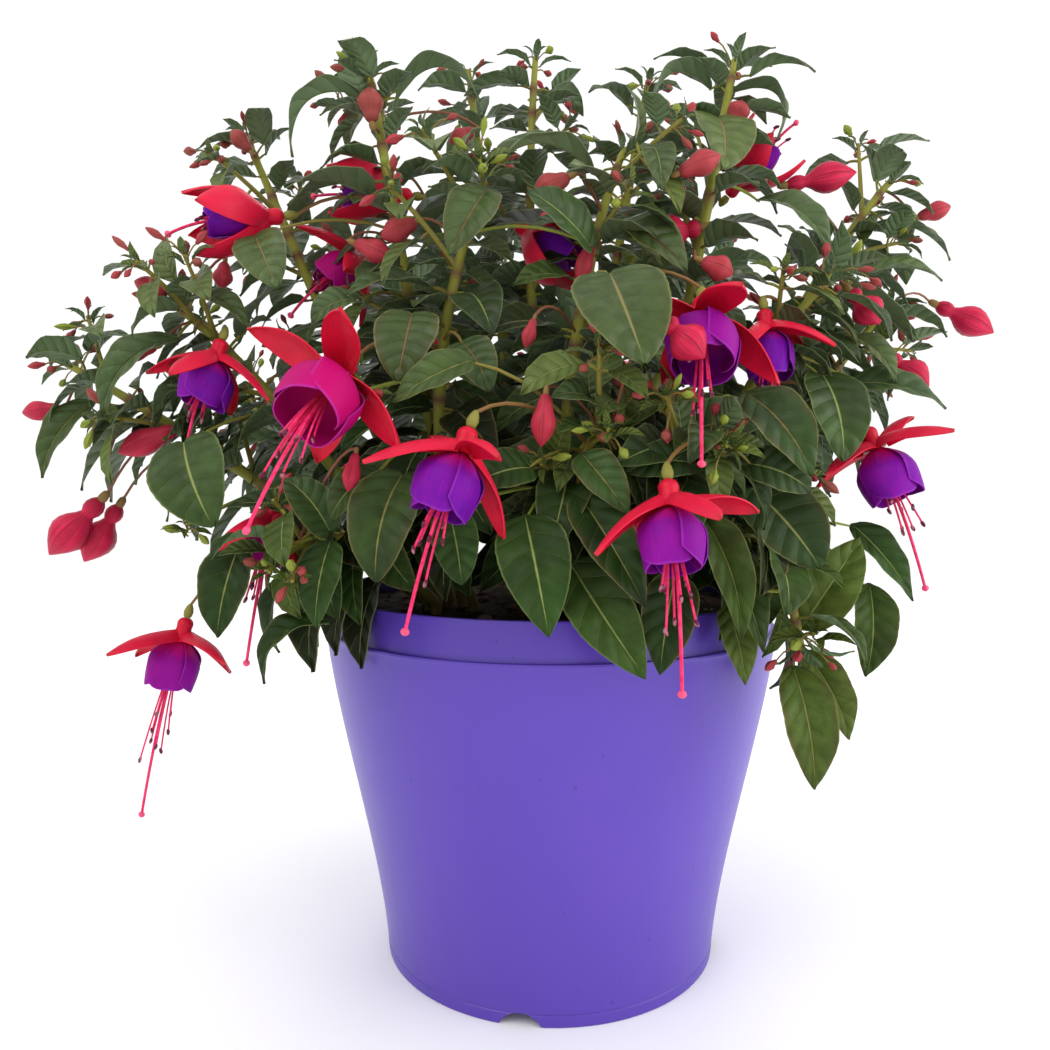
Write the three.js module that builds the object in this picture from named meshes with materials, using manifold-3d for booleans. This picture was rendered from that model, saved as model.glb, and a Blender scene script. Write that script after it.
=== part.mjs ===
// A bushy fuchsia in a waisted plastic pot, in millimetres, +Z up.
// The origin is on the ground under the pot's axis, and -Y is the side that is looked at.
import * as THREE from "three";
import { mergeVertices } from "three/addons/utils/BufferGeometryUtils.js";
import Module from "manifold-3d";

const wasm = await Module();
wasm.setup();

// Pot: outer radii and heights. The wall's outline is one S-curve from foot to shoulder.
const pot = {
  footRadius: 85,
  waistRadius: 87.5,
  waistHeight: 50,
  hipRadius: 111.5,
  hipHeight: 125,
  shoulderRadius: 115,
  shoulderHeight: 169,
  collarRadius: 112.4,
  rimRadius: 112.8,
  height: 186,
  wall: 2,
  floorUnder: 7,
  collarStep: 0.8,
  innerFoot: 0.4,
  sides: 32,
  wallSteps: 5,
  innerShares: [0.66, 0.33],
};
const notch = { count: 4, radius: 10.5, sunk: 4, turn: -8.8, reach: 24, sides: 12 };
const drain = { count: 5, radius: 4.5, ring: 55, sides: 5, reach: 8 };
const soil = { edgeHeight: 173, height: 177, inset: 3, sides: 16 };
const gap = 0.3;
// Room that is kept round each piece, so that no two nodes touch.
const margin = 0.5;

// Where a reading in the picture, in pixels, lies in space: the eye's place, its focal length
// in pixels and how far it looks down and to the left.
const eye = { y: -461, z: 244, focal: 880, centre: 525, down: 3.2, left: 1.62 };

const stemShape = {
  rootRadius: 2.8,
  tipRadius: 1.5,
  sides: 5,
  steps: 5,
  start: 3,
  buried: 26,
  holeGap: 0.45,
  holeTop: 8,
};
// A stalk leaves its stem between these steps of its length, and seldom from above its end.
const seek = { first: 6, last: 39, steps: 40, above: 12, cost: 0.6, stems: 4 };
const stalkShape = { radius: 0.8, middle: 0.55, rise: 0.14, free: 0.4 };
const leafShape = { thick: 0.8, fold: 0.14, stalk: 0.75, flat: 0.6, taper: 0.6, longStalk: 28, rise: 0.12 };
const largeLeaf = { ...leafShape, stations: [0.3, 0.68], widths: [0.94, 0.82] };
const smallLeaf = { ...leafShape, stations: [0.42], widths: [1] };
const sepalShape = { thick: 1, fold: -0.16, stations: [0.5], widths: [1] };
const budShape = { sides: 4, shares: [0, 0.28, 0.58], widths: [0.42, 0.44, 1] };
const bloomShape = {
  tube: 10,
  tubeShares: [0, 0.3, 1],
  tubeRadii: [2.2, 3.8, 4.8],
  rimWall: 1,
  sepalSpan: 34,
  sepalLength: 32,
  sepalWidth: 13.5,
  sepalBow: 2.5,
  cupWidth: 16.5,
  cupBow: 5,
  cupUnder: 40,
  sunk: 2,
};
// The style and the filaments leave the skirt along its axis and sink a little on their way.
const threadShape = {
  sides: 3,
  styleRadii: [0.9, 0.8, 0.7, 1.7],
  styleShares: [0, 0.4, 0.92, 0.965],
  filaments: [0.64, 0.54, 0.7],
  radii: [0.55, 1.1],
  circle: 0.65,
  spread: 0.22,
  held: 22,
  droop: 0.45,
};
const skirtShape = {
  length: 22,
  wall: 0.8,
  neck: 2.9,
  bellShare: 0.5,
  mouth: 0.86,
  sides: 8,
  laps: [6, 68],
  steps: [0.92, 1.05],
};
const ovaryShape = { sides: 3, length: 6.5, radii: [1, 2.3, 1.9] };

// Each stem: root x and y on the soil, then a point halfway along it and its tip.
const stems = [
  ["stem_centre", [4, -36], [11, -74, 300], [33, -60, 389]],
  ["stem_centre_left", [-38, -24], [-49, -70, 278], [-25, -75, 377]],
  ["stem_left_tall", [-45, -14], [-65, -52, 325], [-85, -40, 434]],
  ["stem_right_tall", [42, -12], [66, -48, 335], [86, -35, 438]],
  ["stem_top", [2, 36], [-10, 28, 335], [-8, 20, 466]],
  ["stem_top_left", [-10, 42], [-30, 46, 345], [-46, 42, 470]],
  ["stem_left_upper", [-52, -2], [-112, -10, 318], [-154, -10, 416]],
  ["stem_left", [-58, -10], [-126, -46, 275], [-172, -60, 322]],
  ["stem_left_far", [-62, -20], [-152, -46, 250], [-230, -45, 297]],
  ["stem_right", [52, -24], [88, -52, 278], [126, -60, 333]],
  ["stem_right_upper", [54, -6], [118, -2, 312], [174, 0, 395]],
  ["stem_right_far", [62, -14], [124, 0, 268], [182, 20, 336]],
  ["stem_right_low", [62, -34], [86, -76, 220], [104, -98, 172]],
  ["stem_front", [14, -50], [8, -92, 238], [25, -116, 262]],
  ["stem_front_right", [46, -42], [48, -90, 240], [68, -120, 256]],
  ["stem_top_right", [14, 44], [32, 34, 330], [51, 12, 450]],
  ["stem_left_low", [-56, -30], [-88, -80, 216], [-112, -116, 206]],
  ["stem_back_left", [-14, 56], [-72, 98, 315], [-120, 148, 392]],
  ["stem_back_right", [14, 58], [72, 98, 315], [118, 146, 392]],
  ["stem_back", [0, 66], [2, 128, 285], [4, 176, 330]],
  ["stem_back_left_low", [-56, 8], [-126, 50, 250], [-196, 92, 278]],
  ["stem_back_right_low", [28, 54], [112, 78, 255], [186, 108, 286]],
];

// Each bloom: where its tube starts and where its skirt ends, across, down and depth, then how
// far each sepal opens and the whole is turned, in degrees, its size, the skirt's radius and the
// style's reach.
const blooms = [
  ["bloom_01", [283, 216, -62], [207, 222, -74], [33, 18, 14, 18], 10, 1, 7.5, 42],
  ["bloom_02", [412, 196, -22], [352, 192, -30], [26, 18, 22, 16], 20, 1, 7.5, 40],
  ["bloom_03", [222, 340, -78], [198, 408, -84], [62, 52, 66, 54], 10, 0.9, 11, 44],
  ["bloom_04", [350, 365, -122], [304, 418, -152], [70, 100, 84, 55], 60, 1.12, 14.5, 72],
  ["bloom_05", [470, 428, -146], [438, 514, -154], [104, 46, 82, 58], 65, 1, 11.5, 60],
  ["bloom_06", [276, 500, -92], [263, 562, -96], [46, 58, 40, 52], 30, 0.85, 9.5, 56],
  ["bloom_07", [187, 618, -52], [163, 704, -58], [60, 64, 84, 70], 35, 1, 11.5, 73],
  ["bloom_08", [702, 300, -108], [702, 378, -134], [58, 76, 88, 48], 68, 1.1, 13.5, 62],
  ["bloom_09", [668, 480, -144], [675, 570, -156], [85, 92, 62, 52], 70, 1, 11.5, 60],
  ["bloom_10", [866, 428, -62], [905, 518, -74], [85, 112, 75, 76], 55, 1.05, 12.5, 59],
  ["bloom_11", [517, 225, -62], [580, 258, -74], [40, 28, 30, 24], 45, 1, 8, 34],
  ["bloom_12", [728, 196, -12], [762, 156, -20], [38, 26, 34, 28], 15, 0.9, 7.5, 40],
  ["bloom_13", [372, 250, -34], [334, 276, -44], [48, 56, 44, 50], 0, 0.9, 9, 44],
  ["bloom_14", [764, 310, -62], [770, 368, -68], [66, 86, 58, 52], 40, 0.92, 10, 42],
];

// Blooms of the far side: where the tube starts and the skirt ends in space, then as above.
const farBlooms = [
  ["bloom_15", [-78, 140, 338], [-88, 158, 308], [76, 90, 64, 82], 20, 1, 12, 54],
  ["bloom_16", [66, 150, 318], [70, 172, 290], [88, 70, 94, 76], 50, 1, 12.5, 56],
  ["bloom_17", [-150, 118, 262], [-160, 132, 232], [62, 80, 70, 88], 10, 1, 12, 54],
  ["bloom_18", [140, 130, 250], [150, 146, 222], [92, 74, 84, 66], 35, 1, 12, 56],
];

// Each large bud: where it starts and ends across and down, its depth and its width.
const buds = [
  [101, 500, 49, 555, -40, 19],
  [119, 506, 84, 562, -30, 17],
  [937, 305, 994, 333, 44, 17],
  [787, 185, 857, 172, -22, 15],
  [664, 320, 705, 358, -142, 15],
  [176, 429, 118, 453, -62, 13],
  [60, 408, 22, 413, -44, 10],
  [156, 347, 117, 356, -66, 9],
  [168, 293, 134, 281, -68, 9],
  [372, 122, 369, 87, -62, 12],
  [569, 177, 533, 194, -94, 11],
  [679, 173, 721, 155, -88, 11],
  [733, 123, 743, 101, -52, 11],
  [702, 261, 733, 274, -92, 11],
  [546, 394, 541, 447, -132, 10],
  [534, 319, 525, 348, -118, 6],
  [416, 222, 381, 238, -82, 11],
  [355, 243, 393, 258, -80, 11],
  [356, 453, 348, 492, -132, 7],
  [850, 291, 880, 324, -54, 15],
  [888, 356, 929, 388, -26, 16],
  [918, 217, 951, 206, 2, 10],
  [700, 228, 652, 238, -58, 17],
  [592, 238, 578, 286, -84, 8],
  [250, 151, 231, 130, -22, 9],
  [225, 262, 221, 289, -62, 9],
  [474, 130, 449, 143, -30, 9],
];

// Each leaf read off the picture: where its blade starts and ends across and down, the depths
// of both, width, bow, and how far it faces up rather than outwards, from 0 to 1.
const leaves = [
  [610, 274, 645, 363, -118, -138, 38, 4, 0.3],
  [412, 314, 397, 381, -112, -128, 27, 4, 0.3],
  [462, 343, 490, 391, -116, -128, 18, 3, 0.35],
  [474, 360, 392, 402, -130, -134, 18, 4, 0.4],
  [489, 188, 449, 255, -96, -112, 22, 4, 0.35],
  [590, 246, 528, 190, -80, -88, 21, 3, 0.5],
  [618, 222, 688, 270, -76, -98, 22, 4, 0.5],
  [717, 117, 724, 168, -54, -80, 31, 3, 0.55],
  [744, 392, 813, 476, -106, -122, 25, 5, 0.35],
  [823, 376, 844, 461, -74, -92, 29, 4, 0.3],
  [849, 384, 947, 408, -44, -46, 20, 5, 0.45],
  [748, 464, 811, 491, -112, -116, 20, 4, 0.4],
  [752, 489, 821, 569, -94, -106, 32, 5, 0.35],
  [698, 512, 743, 639, -118, -136, 17, 6, 0.35],
  [724, 542, 765, 653, -104, -120, 18, 5, 0.35],
  [726, 606, 746, 685, -110, -124, 16, 4, 0.3],
  [676, 572, 660, 675, -116, -130, 23, 4, 0.3],
  [800, 629, 860, 537, -92, -86, 25, 4, 0.4],
  [869, 583, 866, 677, -74, -82, 21, 4, 0.3],
  [851, 524, 914, 601, -68, -76, 20, 4, 0.4],
  [792, 665, 815, 790, -98, -112, 24, 6, 0.3],
  [803, 650, 850, 740, -84, -90, 18, 5, 0.35],
  [525, 515, 549, 637, -130, -152, 29, 5, 0.3],
  [577, 493, 646, 607, -124, -144, 23, 5, 0.35],
  [568, 560, 646, 679, -116, -134, 27, 5, 0.3],
  [402, 476, 375, 582, -126, -146, 28, 5, 0.3],
  [530, 468, 470, 487, -124, -130, 20, 4, 0.4],
  [581, 453, 630, 514, -126, -140, 18, 4, 0.35],
  [690, 463, 625, 471, -118, -124, 18, 4, 0.4],
  [588, 412, 587, 367, -108, -104, 18, 3, 0.4],
  [184, 443, 213, 527, -84, -100, 36, 4, 0.3],
  [242, 540, 217, 638, -90, -100, 22, 5, 0.35],
  [331, 540, 315, 628, -118, -130, 19, 4, 0.3],
  [329, 622, 263, 684, -116, -122, 15, 10, 0.75],
  [94, 401, 41, 478, -48, -56, 19, 5, 0.4],
  [178, 338, 102, 417, -70, -76, 18, 8, 0.5],
  [88, 351, 138, 341, -50, -58, 14, 5, 0.7],
  [189, 301, 249, 326, -76, -80, 15, 6, 0.7],
  [255, 236, 277, 287, -60, -76, 24, 3, 0.4],
  [364, 96, 291, 157, -48, -60, 15, 13, 0.95],
  [396, 98, 481, 101, -46, -52, 16, 14, 0.95],
  [712, 89, 650, 111, -38, -46, 16, 12, 0.95],
  [731, 92, 778, 140, -36, -42, 16, 13, 0.95],
  [594, 173, 481, 181, -76, -96, 17, 13, 0.85],
  [651, 145, 662, 190, -74, -90, 15, 4, 0.4],
  [757, 200, 831, 254, -40, -48, 19, 7, 0.55],
  [884, 222, 951, 260, -2, -8, 16, 5, 0.65],
  [864, 276, 943, 280, -20, -22, 14, 5, 0.7],
  [851, 336, 897, 383, -42, -50, 16, 5, 0.5],
  [450, 515, 462, 585, -112, -122, 20, 4, 0.3],
  [329, 530, 285, 478, -106, -106, 18, 4, 0.45],
  [378, 473, 330, 520, -104, -114, 17, 4, 0.4],
  [360, 300, 311, 322, -84, -92, 15, 4, 0.5],
];

// The other leaves stand in crossed pairs at the stems' joints, longest at the lowest.
const pairs = {
  joints: [0.93, 0.72, 0.5],
  nearJoints: 2,
  nearDepth: -30,
  longest: 46,
  shortest: 27,
  widthShare: 0.62,
  bowShare: 0.1,
  sag: 0.12,
  stalk: 9,
  lift: 2,
  reach: 24,
  stemTurn: 50,
};
// They point away from the stem and outwards, down at the pot and level at the top.
const leafWay = {
  across: 0.8,
  out: 0.45,
  down: 0.75,
  faceLow: 0.35,
  faceHigh: 0.4,
  from: 200,
  over: 220,
};
// The leaves read off the picture face its eye by this share, besides outwards.
const eyeShare = 0.65;
const leafReach = 70;
// Turn in degrees, lift and size of each way in which such a leaf may grow, in order of choice.
const pairTrials = [
  [0, 0, 1],
  [22, 0, 1],
  [-22, 0, 1],
  [44, 0.15, 1],
  [-44, 0.15, 1],
  [10, -0.35, 0.9],
  [-66, 0.1, 0.85],
  [66, 0.1, 0.85],
  [0, 0.45, 0.75],
  [180, 0.3, 0.75],
];
// What is read off the picture moves along its line of sight by these depths until it is clear.
const depthTrials = [0, -7, 7, -14, 14, -21, 21, -28, 28, 36, 44];

// Colour and roughness of each material.
const materials = {
  pot: [0x684fbd, 0.42],
  soil: [0x2a1d17, 0.95],
  stem: [0x46632f, 0.55],
  sepal: [0xe0234d, 0.45],
  corolla: [0x961fab, 0.5],
};

const up = new THREE.Vector3(0, 0, 1);
const radians = THREE.MathUtils.degToRad;

function sighted(across, downwards, depth) {
  const right = (across - eye.centre) / eye.focal;
  const rise = (eye.centre - downwards) / eye.focal;
  const pitch = radians(eye.down);
  const turn = radians(eye.left);
  const ahead = Math.cos(pitch) + rise * Math.sin(pitch);
  const climb = rise * Math.cos(pitch) - Math.sin(pitch);
  const x = right * Math.cos(turn) - ahead * Math.sin(turn);
  const y = ahead * Math.cos(turn) + right * Math.sin(turn);
  const reach = (depth - eye.y) / y;
  return new THREE.Vector3(x * reach, depth, eye.z + climb * reach);
}

function manifoldOf(geometry) {
  const bare = geometry.clone();
  bare.deleteAttribute("normal");
  bare.deleteAttribute("uv");
  const merged = mergeVertices(bare, 1e-4);
  const numbers = { numProp: 3, vertProperties: merged.attributes.position.array };
  return new wasm.Manifold(new wasm.Mesh({ ...numbers, triVerts: new Uint32Array(merged.index.array) }));
}

function geometryOf(solid) {
  const mesh = solid.getMesh();
  const geometry = new THREE.BufferGeometry();
  geometry.setAttribute("position", new THREE.BufferAttribute(mesh.vertProperties, 3));
  geometry.setIndex(new THREE.BufferAttribute(mesh.triVerts, 1));
  geometry.computeVertexNormals();
  return geometry;
}

function solidFrom(points, faces) {
  const geometry = new THREE.BufferGeometry().setFromPoints(points);
  geometry.setIndex(faces);
  const made = manifoldOf(geometry);
  if (made.volume() > 0) return made;
  for (let i = 0; i < faces.length; i += 3) [faces[i], faces[i + 1]] = [faces[i + 1], faces[i]];
  geometry.setIndex(faces);
  return manifoldOf(geometry);
}

// A skin over rings of equal count, closed at its start and ended flat or in a point.
function loft(rings, nose) {
  const sides = rings[0].length;
  const points = rings.flat();
  const faces = [];
  for (let ring = 0; ring + 1 < rings.length; ring++)
    for (let side = 0; side < sides; side++) {
      const a = ring * sides + side;
      const b = ring * sides + ((side + 1) % sides);
      faces.push(a, b, b + sides, a, b + sides, a + sides);
    }
  const last = (rings.length - 1) * sides;
  for (let side = 1; side + 1 < sides; side++) faces.push(0, side + 1, side);
  if (nose) points.push(nose);
  for (let side = 0; side < sides; side++) {
    const next = (side + 1) % sides;
    if (nose) faces.push(last + side, last + next, points.length - 1);
    else if (side > 0 && side + 1 < sides) faces.push(last, last + side, last + next);
  }
  return solidFrom(points, faces);
}

function ringAt(centre, first, second, radius, sides) {
  return Array.from({ length: sides }, (_, side) => {
    const angle = (2 * Math.PI * side) / sides;
    return centre
      .clone()
      .addScaledVector(first, radius * Math.cos(angle))
      .addScaledVector(second, radius * Math.sin(angle));
  });
}

// Two directions square to an axis, turned about it by an angle.
function crossAxes(axis, turn) {
  const start = Math.abs(axis.z) < 0.9 ? up : new THREE.Vector3(0, 1, 0);
  const first = start.clone().cross(axis).normalize().applyAxisAngle(axis, turn);
  return [first, axis.clone().cross(first)];
}

// A skin round a row of points, with a radius at each, ended flat or in a point.
function thread(centres, radii, sides, nose) {
  const ends = nose ? [...centres, nose] : centres;
  let [first] = crossAxes(ends[1].clone().sub(ends[0]).normalize(), 0);
  const rings = centres.map((centre, i) => {
    const ahead = ends[Math.min(i + 1, ends.length - 1)];
    const tangent = ahead.clone().sub(ends[Math.max(i - 1, 0)]).normalize();
    first = first.clone().addScaledVector(tangent, -first.dot(tangent)).normalize();
    return ringAt(centre, first, tangent.clone().cross(first), radii[i], sides);
  });
  return loft(rings, nose);
}

// The corners of a folded blade at each station along its rib, upper side first, and its tip.
function bladeRows(shape, piece, room) {
  const { base, tip, face, bow, width } = piece;
  const along = tip.clone().sub(base).normalize();
  const normal = face.clone().addScaledVector(along, -face.dot(along)).normalize();
  const side = along.clone().cross(normal);
  const handle = base.clone().lerp(tip, 0.5).addScaledVector(normal, 2 * bow);
  const rib = new THREE.QuadraticBezierCurve3(base, handle, tip);
  const thick = shape.thick / 2 + room;
  const rows = shape.stations.map((share, i) => {
    const centre = rib.getPoint(share);
    const out = side.clone().cross(rib.getTangent(share)).normalize();
    const half = (shape.widths[i] * width) / 2 + room;
    const fold = shape.fold * half;
    const point = (across, lift) =>
      centre.clone().addScaledVector(side, across).addScaledVector(out, lift);
    return [
      point(-half, fold + thick),
      point(0, thick),
      point(half, fold + thick),
      point(half, fold - thick),
      point(0, -thick),
      point(-half, fold - thick),
    ];
  });
  return { rows, side, normal, tip: tip.clone().addScaledVector(along, room) };
}

// Adds a blade to a skin, from the four corners of the edge that it grows from.
function growBlade({ points, faces }, start, rows, tip) {
  const face = (...corners) => new Set(corners).size === 3 && faces.push(...corners);
  const quad = (a, b, c, d) => face(a, b, c) && face(a, c, d);
  const [left, right, rightUnder, leftUnder] = start;
  let last;
  for (const row of rows) {
    const [l, m, r, rUnder, mUnder, lUnder] = row.map((point) => points.push(point) - 1);
    if (last) {
      quad(last.l, last.m, m, l);
      quad(last.m, last.r, r, m);
      quad(last.lUnder, lUnder, mUnder, last.mUnder);
      quad(last.mUnder, mUnder, rUnder, last.rUnder);
      quad(last.l, l, lUnder, last.lUnder);
      quad(last.r, last.rUnder, rUnder, r);
    } else {
      face(left, right, m);
      face(left, m, l);
      face(right, r, m);
      face(rightUnder, leftUnder, mUnder);
      face(leftUnder, lUnder, mUnder);
      face(rightUnder, mUnder, rUnder);
      face(left, l, lUnder);
      face(left, lUnder, leftUnder);
      face(right, rightUnder, rUnder);
      face(right, rUnder, r);
    }
    last = { l, m, r, rUnder, mUnder, lUnder };
  }
  const end = points.push(tip) - 1;
  face(last.l, last.m, end);
  face(last.m, last.r, end);
  face(last.mUnder, last.lUnder, end);
  face(last.rUnder, last.mUnder, end);
  face(last.l, end, last.lUnder);
  face(last.r, last.rUnder, end);
}

// A leaf with its stalk, which is three-sided and starts at a point in the stem.
function leafSolid(shape, piece, from, room) {
  const { rows, side, normal, tip } = bladeRows(shape, piece, room);
  const points = [];
  const faces = [];
  const corners = [
    [-1, shape.flat],
    [1, shape.flat],
    [0, -1],
  ];
  const along = side.clone().cross(normal).negate();
  const reach = from.distanceTo(piece.base);
  const middle = from.clone().lerp(piece.base, 0.5).addScaledVector(up, shape.rise * reach);
  const centres = reach > shape.longStalk ? [from, middle, piece.base] : [from, piece.base];
  const rings = centres.map((centre, i) => {
    const before = i ? centre.clone().sub(centres[i - 1]).normalize() : new THREE.Vector3();
    const after = i + 1 < centres.length ? centres[i + 1].clone().sub(centre).normalize() : along;
    const turn = new THREE.Quaternion().setFromUnitVectors(along, before.add(after).normalize());
    const size = (i ? 1 : shape.taper) * shape.stalk + room;
    return corners.map(([across, lift]) => {
      const offset = side.clone().multiplyScalar(across * size).addScaledVector(normal, lift * size);
      return points.push(centre.clone().add(offset.applyQuaternion(turn))) - 1;
    });
  });
  const [left, right, under] = rings[0];
  faces.push(left, under, right);
  for (let i = 0; i + 1 < rings.length; i++) {
    const [l, r, u] = rings[i];
    const [l2, r2, u2] = rings[i + 1];
    faces.push(l, r, r2, l, r2, l2);
    faces.push(l, l2, u2, l, u2, u);
    faces.push(r, u, u2, r, u2, r2);
  }
  const [l, r, u] = rings.at(-1);
  growBlade({ points, faces }, [l, r, u, u], rows, tip);
  return solidFrom(points, faces);
}

// Stems first: each is a curve through its root, halfway point and tip.
const plants = stems.map(([name, ground, half, end], index) => {
  const root = new THREE.Vector3(...ground, soil.height + stemShape.start);
  const tip = new THREE.Vector3(...end);
  const handle = new THREE.Vector3(...half).multiplyScalar(2);
  handle.addScaledVector(root, -0.5).addScaledVector(tip, -0.5);
  const curve = new THREE.QuadraticBezierCurve3(root, handle, tip);
  const path = curve.getPoints(stemShape.steps);
  return { name, index, root, tip, path, solids: [] };
});

// The point at a share of a stem's length, on the straight stretches that its skin has.
function pointOn({ path }, share) {
  const place = share * (path.length - 1);
  const step = Math.min(Math.floor(place), path.length - 2);
  return path[step].clone().lerp(path[step + 1], place - step);
}

function directionOn({ path }, share) {
  const step = Math.min(Math.floor(share * (path.length - 1)), path.length - 2);
  return path[step + 1].clone().sub(path[step]).normalize();
}

function stemSolid({ root, path }) {
  const { rootRadius, tipRadius, sides, steps, buried } = stemShape;
  const foot = new THREE.Vector3(root.x, root.y, soil.height - buried);
  const radii = path.map((_, i) => THREE.MathUtils.lerp(rootRadius, tipRadius, i / steps));
  return thread([foot, ...path], [rootRadius, ...radii], sides);
}

const taken = [];

function keep(solid, owner, stem) {
  taken.push({ solid, owner, stem, box: solid.boundingBox() });
}

function clearOf(solid, matters) {
  const box = solid.boundingBox();
  return taken.every((other) => {
    if (!matters(other)) return true;
    const { min, max } = other.box;
    const apart = [0, 1, 2].some((i) => box.min[i] > max[i] || box.max[i] < min[i]);
    return apart || solid.intersect(other.solid).isEmpty();
  });
}

function clear(solid) {
  return clearOf(solid, () => true);
}

// The spot on a stem from which a point is best reached: near it, and seldom from above.
function nearestOn(plant, point) {
  let best = { distance: Infinity };
  for (let step = seek.first; step <= seek.last; step++) {
    const place = pointOn(plant, step / seek.steps);
    const above = Math.max(0, place.z - point.z - seek.above);
    const distance = place.distanceTo(point) + seek.cost * above;
    if (distance < best.distance) best = { distance, place };
  }
  return { plant, ...best };
}

function nearestStems(point, count) {
  const found = plants.map((plant) => nearestOn(plant, point));
  return found.sort((a, b) => a.distance - b.distance).slice(0, count);
}

// Fuses a piece to the nearest stem from which nothing is in its way. The piece is made from
// a start in the stem, with some room all round. Near its start it may touch its neighbours.
function hang(anchor, reach, make) {
  for (const { plant, place, distance } of nearestStems(anchor, seek.stems)) {
    if (distance > reach) return false;
    const outer = make(place.clone().lerp(anchor, stalkShape.free), margin);
    if (!clearOf(outer, (other) => other.stem !== plant.index)) continue;
    if (!clearOf(make(place, margin), (other) => other.owner !== plant.index)) continue;
    const solid = make(place, 0);
    plant.solids.push(solid);
    keep(solid, plant.index);
    return true;
  }
  return false;
}

// The start and the middle of a stalk that rises a little on its way.
function stalkPoints(from, to) {
  const rise = from.distanceTo(to) * stalkShape.rise;
  return [from, from.clone().lerp(to, stalkShape.middle).addScaledVector(up, rise)];
}

function outwards(point) {
  return new THREE.Vector3(point.x, point.y, 0).normalize();
}

function facing(point, share, seen = 0) {
  const toEye = new THREE.Vector3(-point.x, eye.y - point.y, 0).normalize();
  const level = outwards(point).multiplyScalar(1 - seen).addScaledVector(toEye, seen).normalize();
  return level.multiplyScalar(1 - share).addScaledVector(up, share).normalize();
}

function hangLeaf(shape, piece, reach) {
  return hang(piece.base, reach, (from, room) => leafSolid(shape, piece, from, room));
}

function hangBud(root, point, width) {
  const axis = point.clone().sub(root).normalize();
  const body = budShape.shares.map((share) => root.clone().lerp(point, share));
  const stalk = [stalkShape.radius, stalkShape.radius];
  const radii = [...stalk, ...budShape.widths.map((share) => (share * width) / 2)];
  return hang(root, Infinity, (from, room) => {
    const grown = radii.map((radius) => radius + room);
    const nose = point.clone().addScaledVector(axis, room);
    return thread([...stalkPoints(from, root), ...body], grown, budShape.sides, nose);
  });
}

// The point at a share of a thread's reach.
function hangingPoint(start, axis, reach, share) {
  const beyond = Math.max(0, reach * share - threadShape.held);
  const sink = (threadShape.droop * beyond * beyond) / reach;
  return start.clone().addScaledVector(axis, reach * share).addScaledVector(up, -sink);
}

// A bloom's red body: the tube with its four sepals, the filaments and the long style.
function redBody(root, axis, turn, opens, size, radius, reach) {
  const { tubeShares, tubeRadii, rimWall, sepalSpan, sepalLength, sepalWidth } = bloomShape;
  const corners = 2 * opens.length;
  const length = bloomShape.tube * size;
  const [first, second] = crossAxes(axis, turn);
  const points = [];
  const faces = [];
  const outAt = (angle) =>
    first.clone().multiplyScalar(Math.cos(angle)).addScaledVector(second, Math.sin(angle));
  const ring = (height, radius) =>
    Array.from({ length: corners }, (_, i) => {
      const angle = radians(90 * Math.floor(i / 2) + (i % 2 ? sepalSpan : -sepalSpan));
      const spot = root.clone().addScaledVector(axis, height).addScaledVector(outAt(angle), radius);
      return points.push(spot) - 1;
    });
  const rings = tubeShares.map((share, i) => ring(share * length, tubeRadii[i] * size));
  const outer = rings.at(-1);
  const inner = ring(length, tubeRadii.at(-1) * size - rimWall);
  for (let i = 1; i + 1 < corners; i++) {
    faces.push(rings[0][0], rings[0][i + 1], rings[0][i]);
    faces.push(inner[0], inner[i], inner[i + 1]);
  }
  for (let i = 0; i < corners; i++) {
    const next = (i + 1) % corners;
    for (let j = 0; j + 1 < rings.length; j++) {
      const [low, high] = [rings[j], rings[j + 1]];
      faces.push(low[i], low[next], high[next], low[i], high[next], high[i]);
    }
    if (i % 2) faces.push(outer[i], outer[next], inner[next], outer[i], inner[next], inner[i]);
  }
  opens.forEach((open, i) => {
    const out = outAt((Math.PI / 2) * i);
    const opening = radians(open);
    const cupped = open < bloomShape.cupUnder;
    const bow = cupped ? bloomShape.cupBow : bloomShape.sepalBow;
    const width = cupped ? bloomShape.cupWidth : sepalWidth;
    const [along, aside] = [Math.cos(opening), Math.sin(opening)];
    const way = out.clone().multiplyScalar(aside).addScaledVector(axis, along);
    const rim = tubeRadii.at(-1) * size - rimWall / 2;
    const base = root.clone().addScaledVector(axis, length).addScaledVector(out, rim);
    const tip = base.clone().addScaledVector(way, sepalLength * size);
    const face = out.clone().multiplyScalar(along).addScaledVector(axis, -aside);
    const piece = { base, tip, face, bow: bow * size, width: width * size };
    const blade = bladeRows(sepalShape, piece, 0);
    const [a, b] = [2 * i, 2 * i + 1];
    growBlade({ points, faces }, [outer[a], outer[b], inner[b], inner[a]], blade.rows, blade.tip);
  });
  const parts = [solidFrom(points, faces)];
  const { sides, styleRadii, styleShares, filaments, radii, circle, spread } = threadShape;
  const start = root.clone().addScaledVector(axis, length - bloomShape.sunk);
  const style = styleShares.map((share) => hangingPoint(start, axis, reach, share));
  parts.push(thread(style, styleRadii, sides, hangingPoint(start, axis, reach, 1)));
  filaments.forEach((share, i) => {
    const out = outAt(((2 * Math.PI) / filaments.length) * (i + 0.5));
    const foot = start.clone().addScaledVector(out, circle * size);
    const end = hangingPoint(foot, axis, reach, share).addScaledVector(out, spread * radius);
    parts.push(thread([foot, end], radii, sides));
  });
  return wasm.Manifold.union(parts);
}

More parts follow.
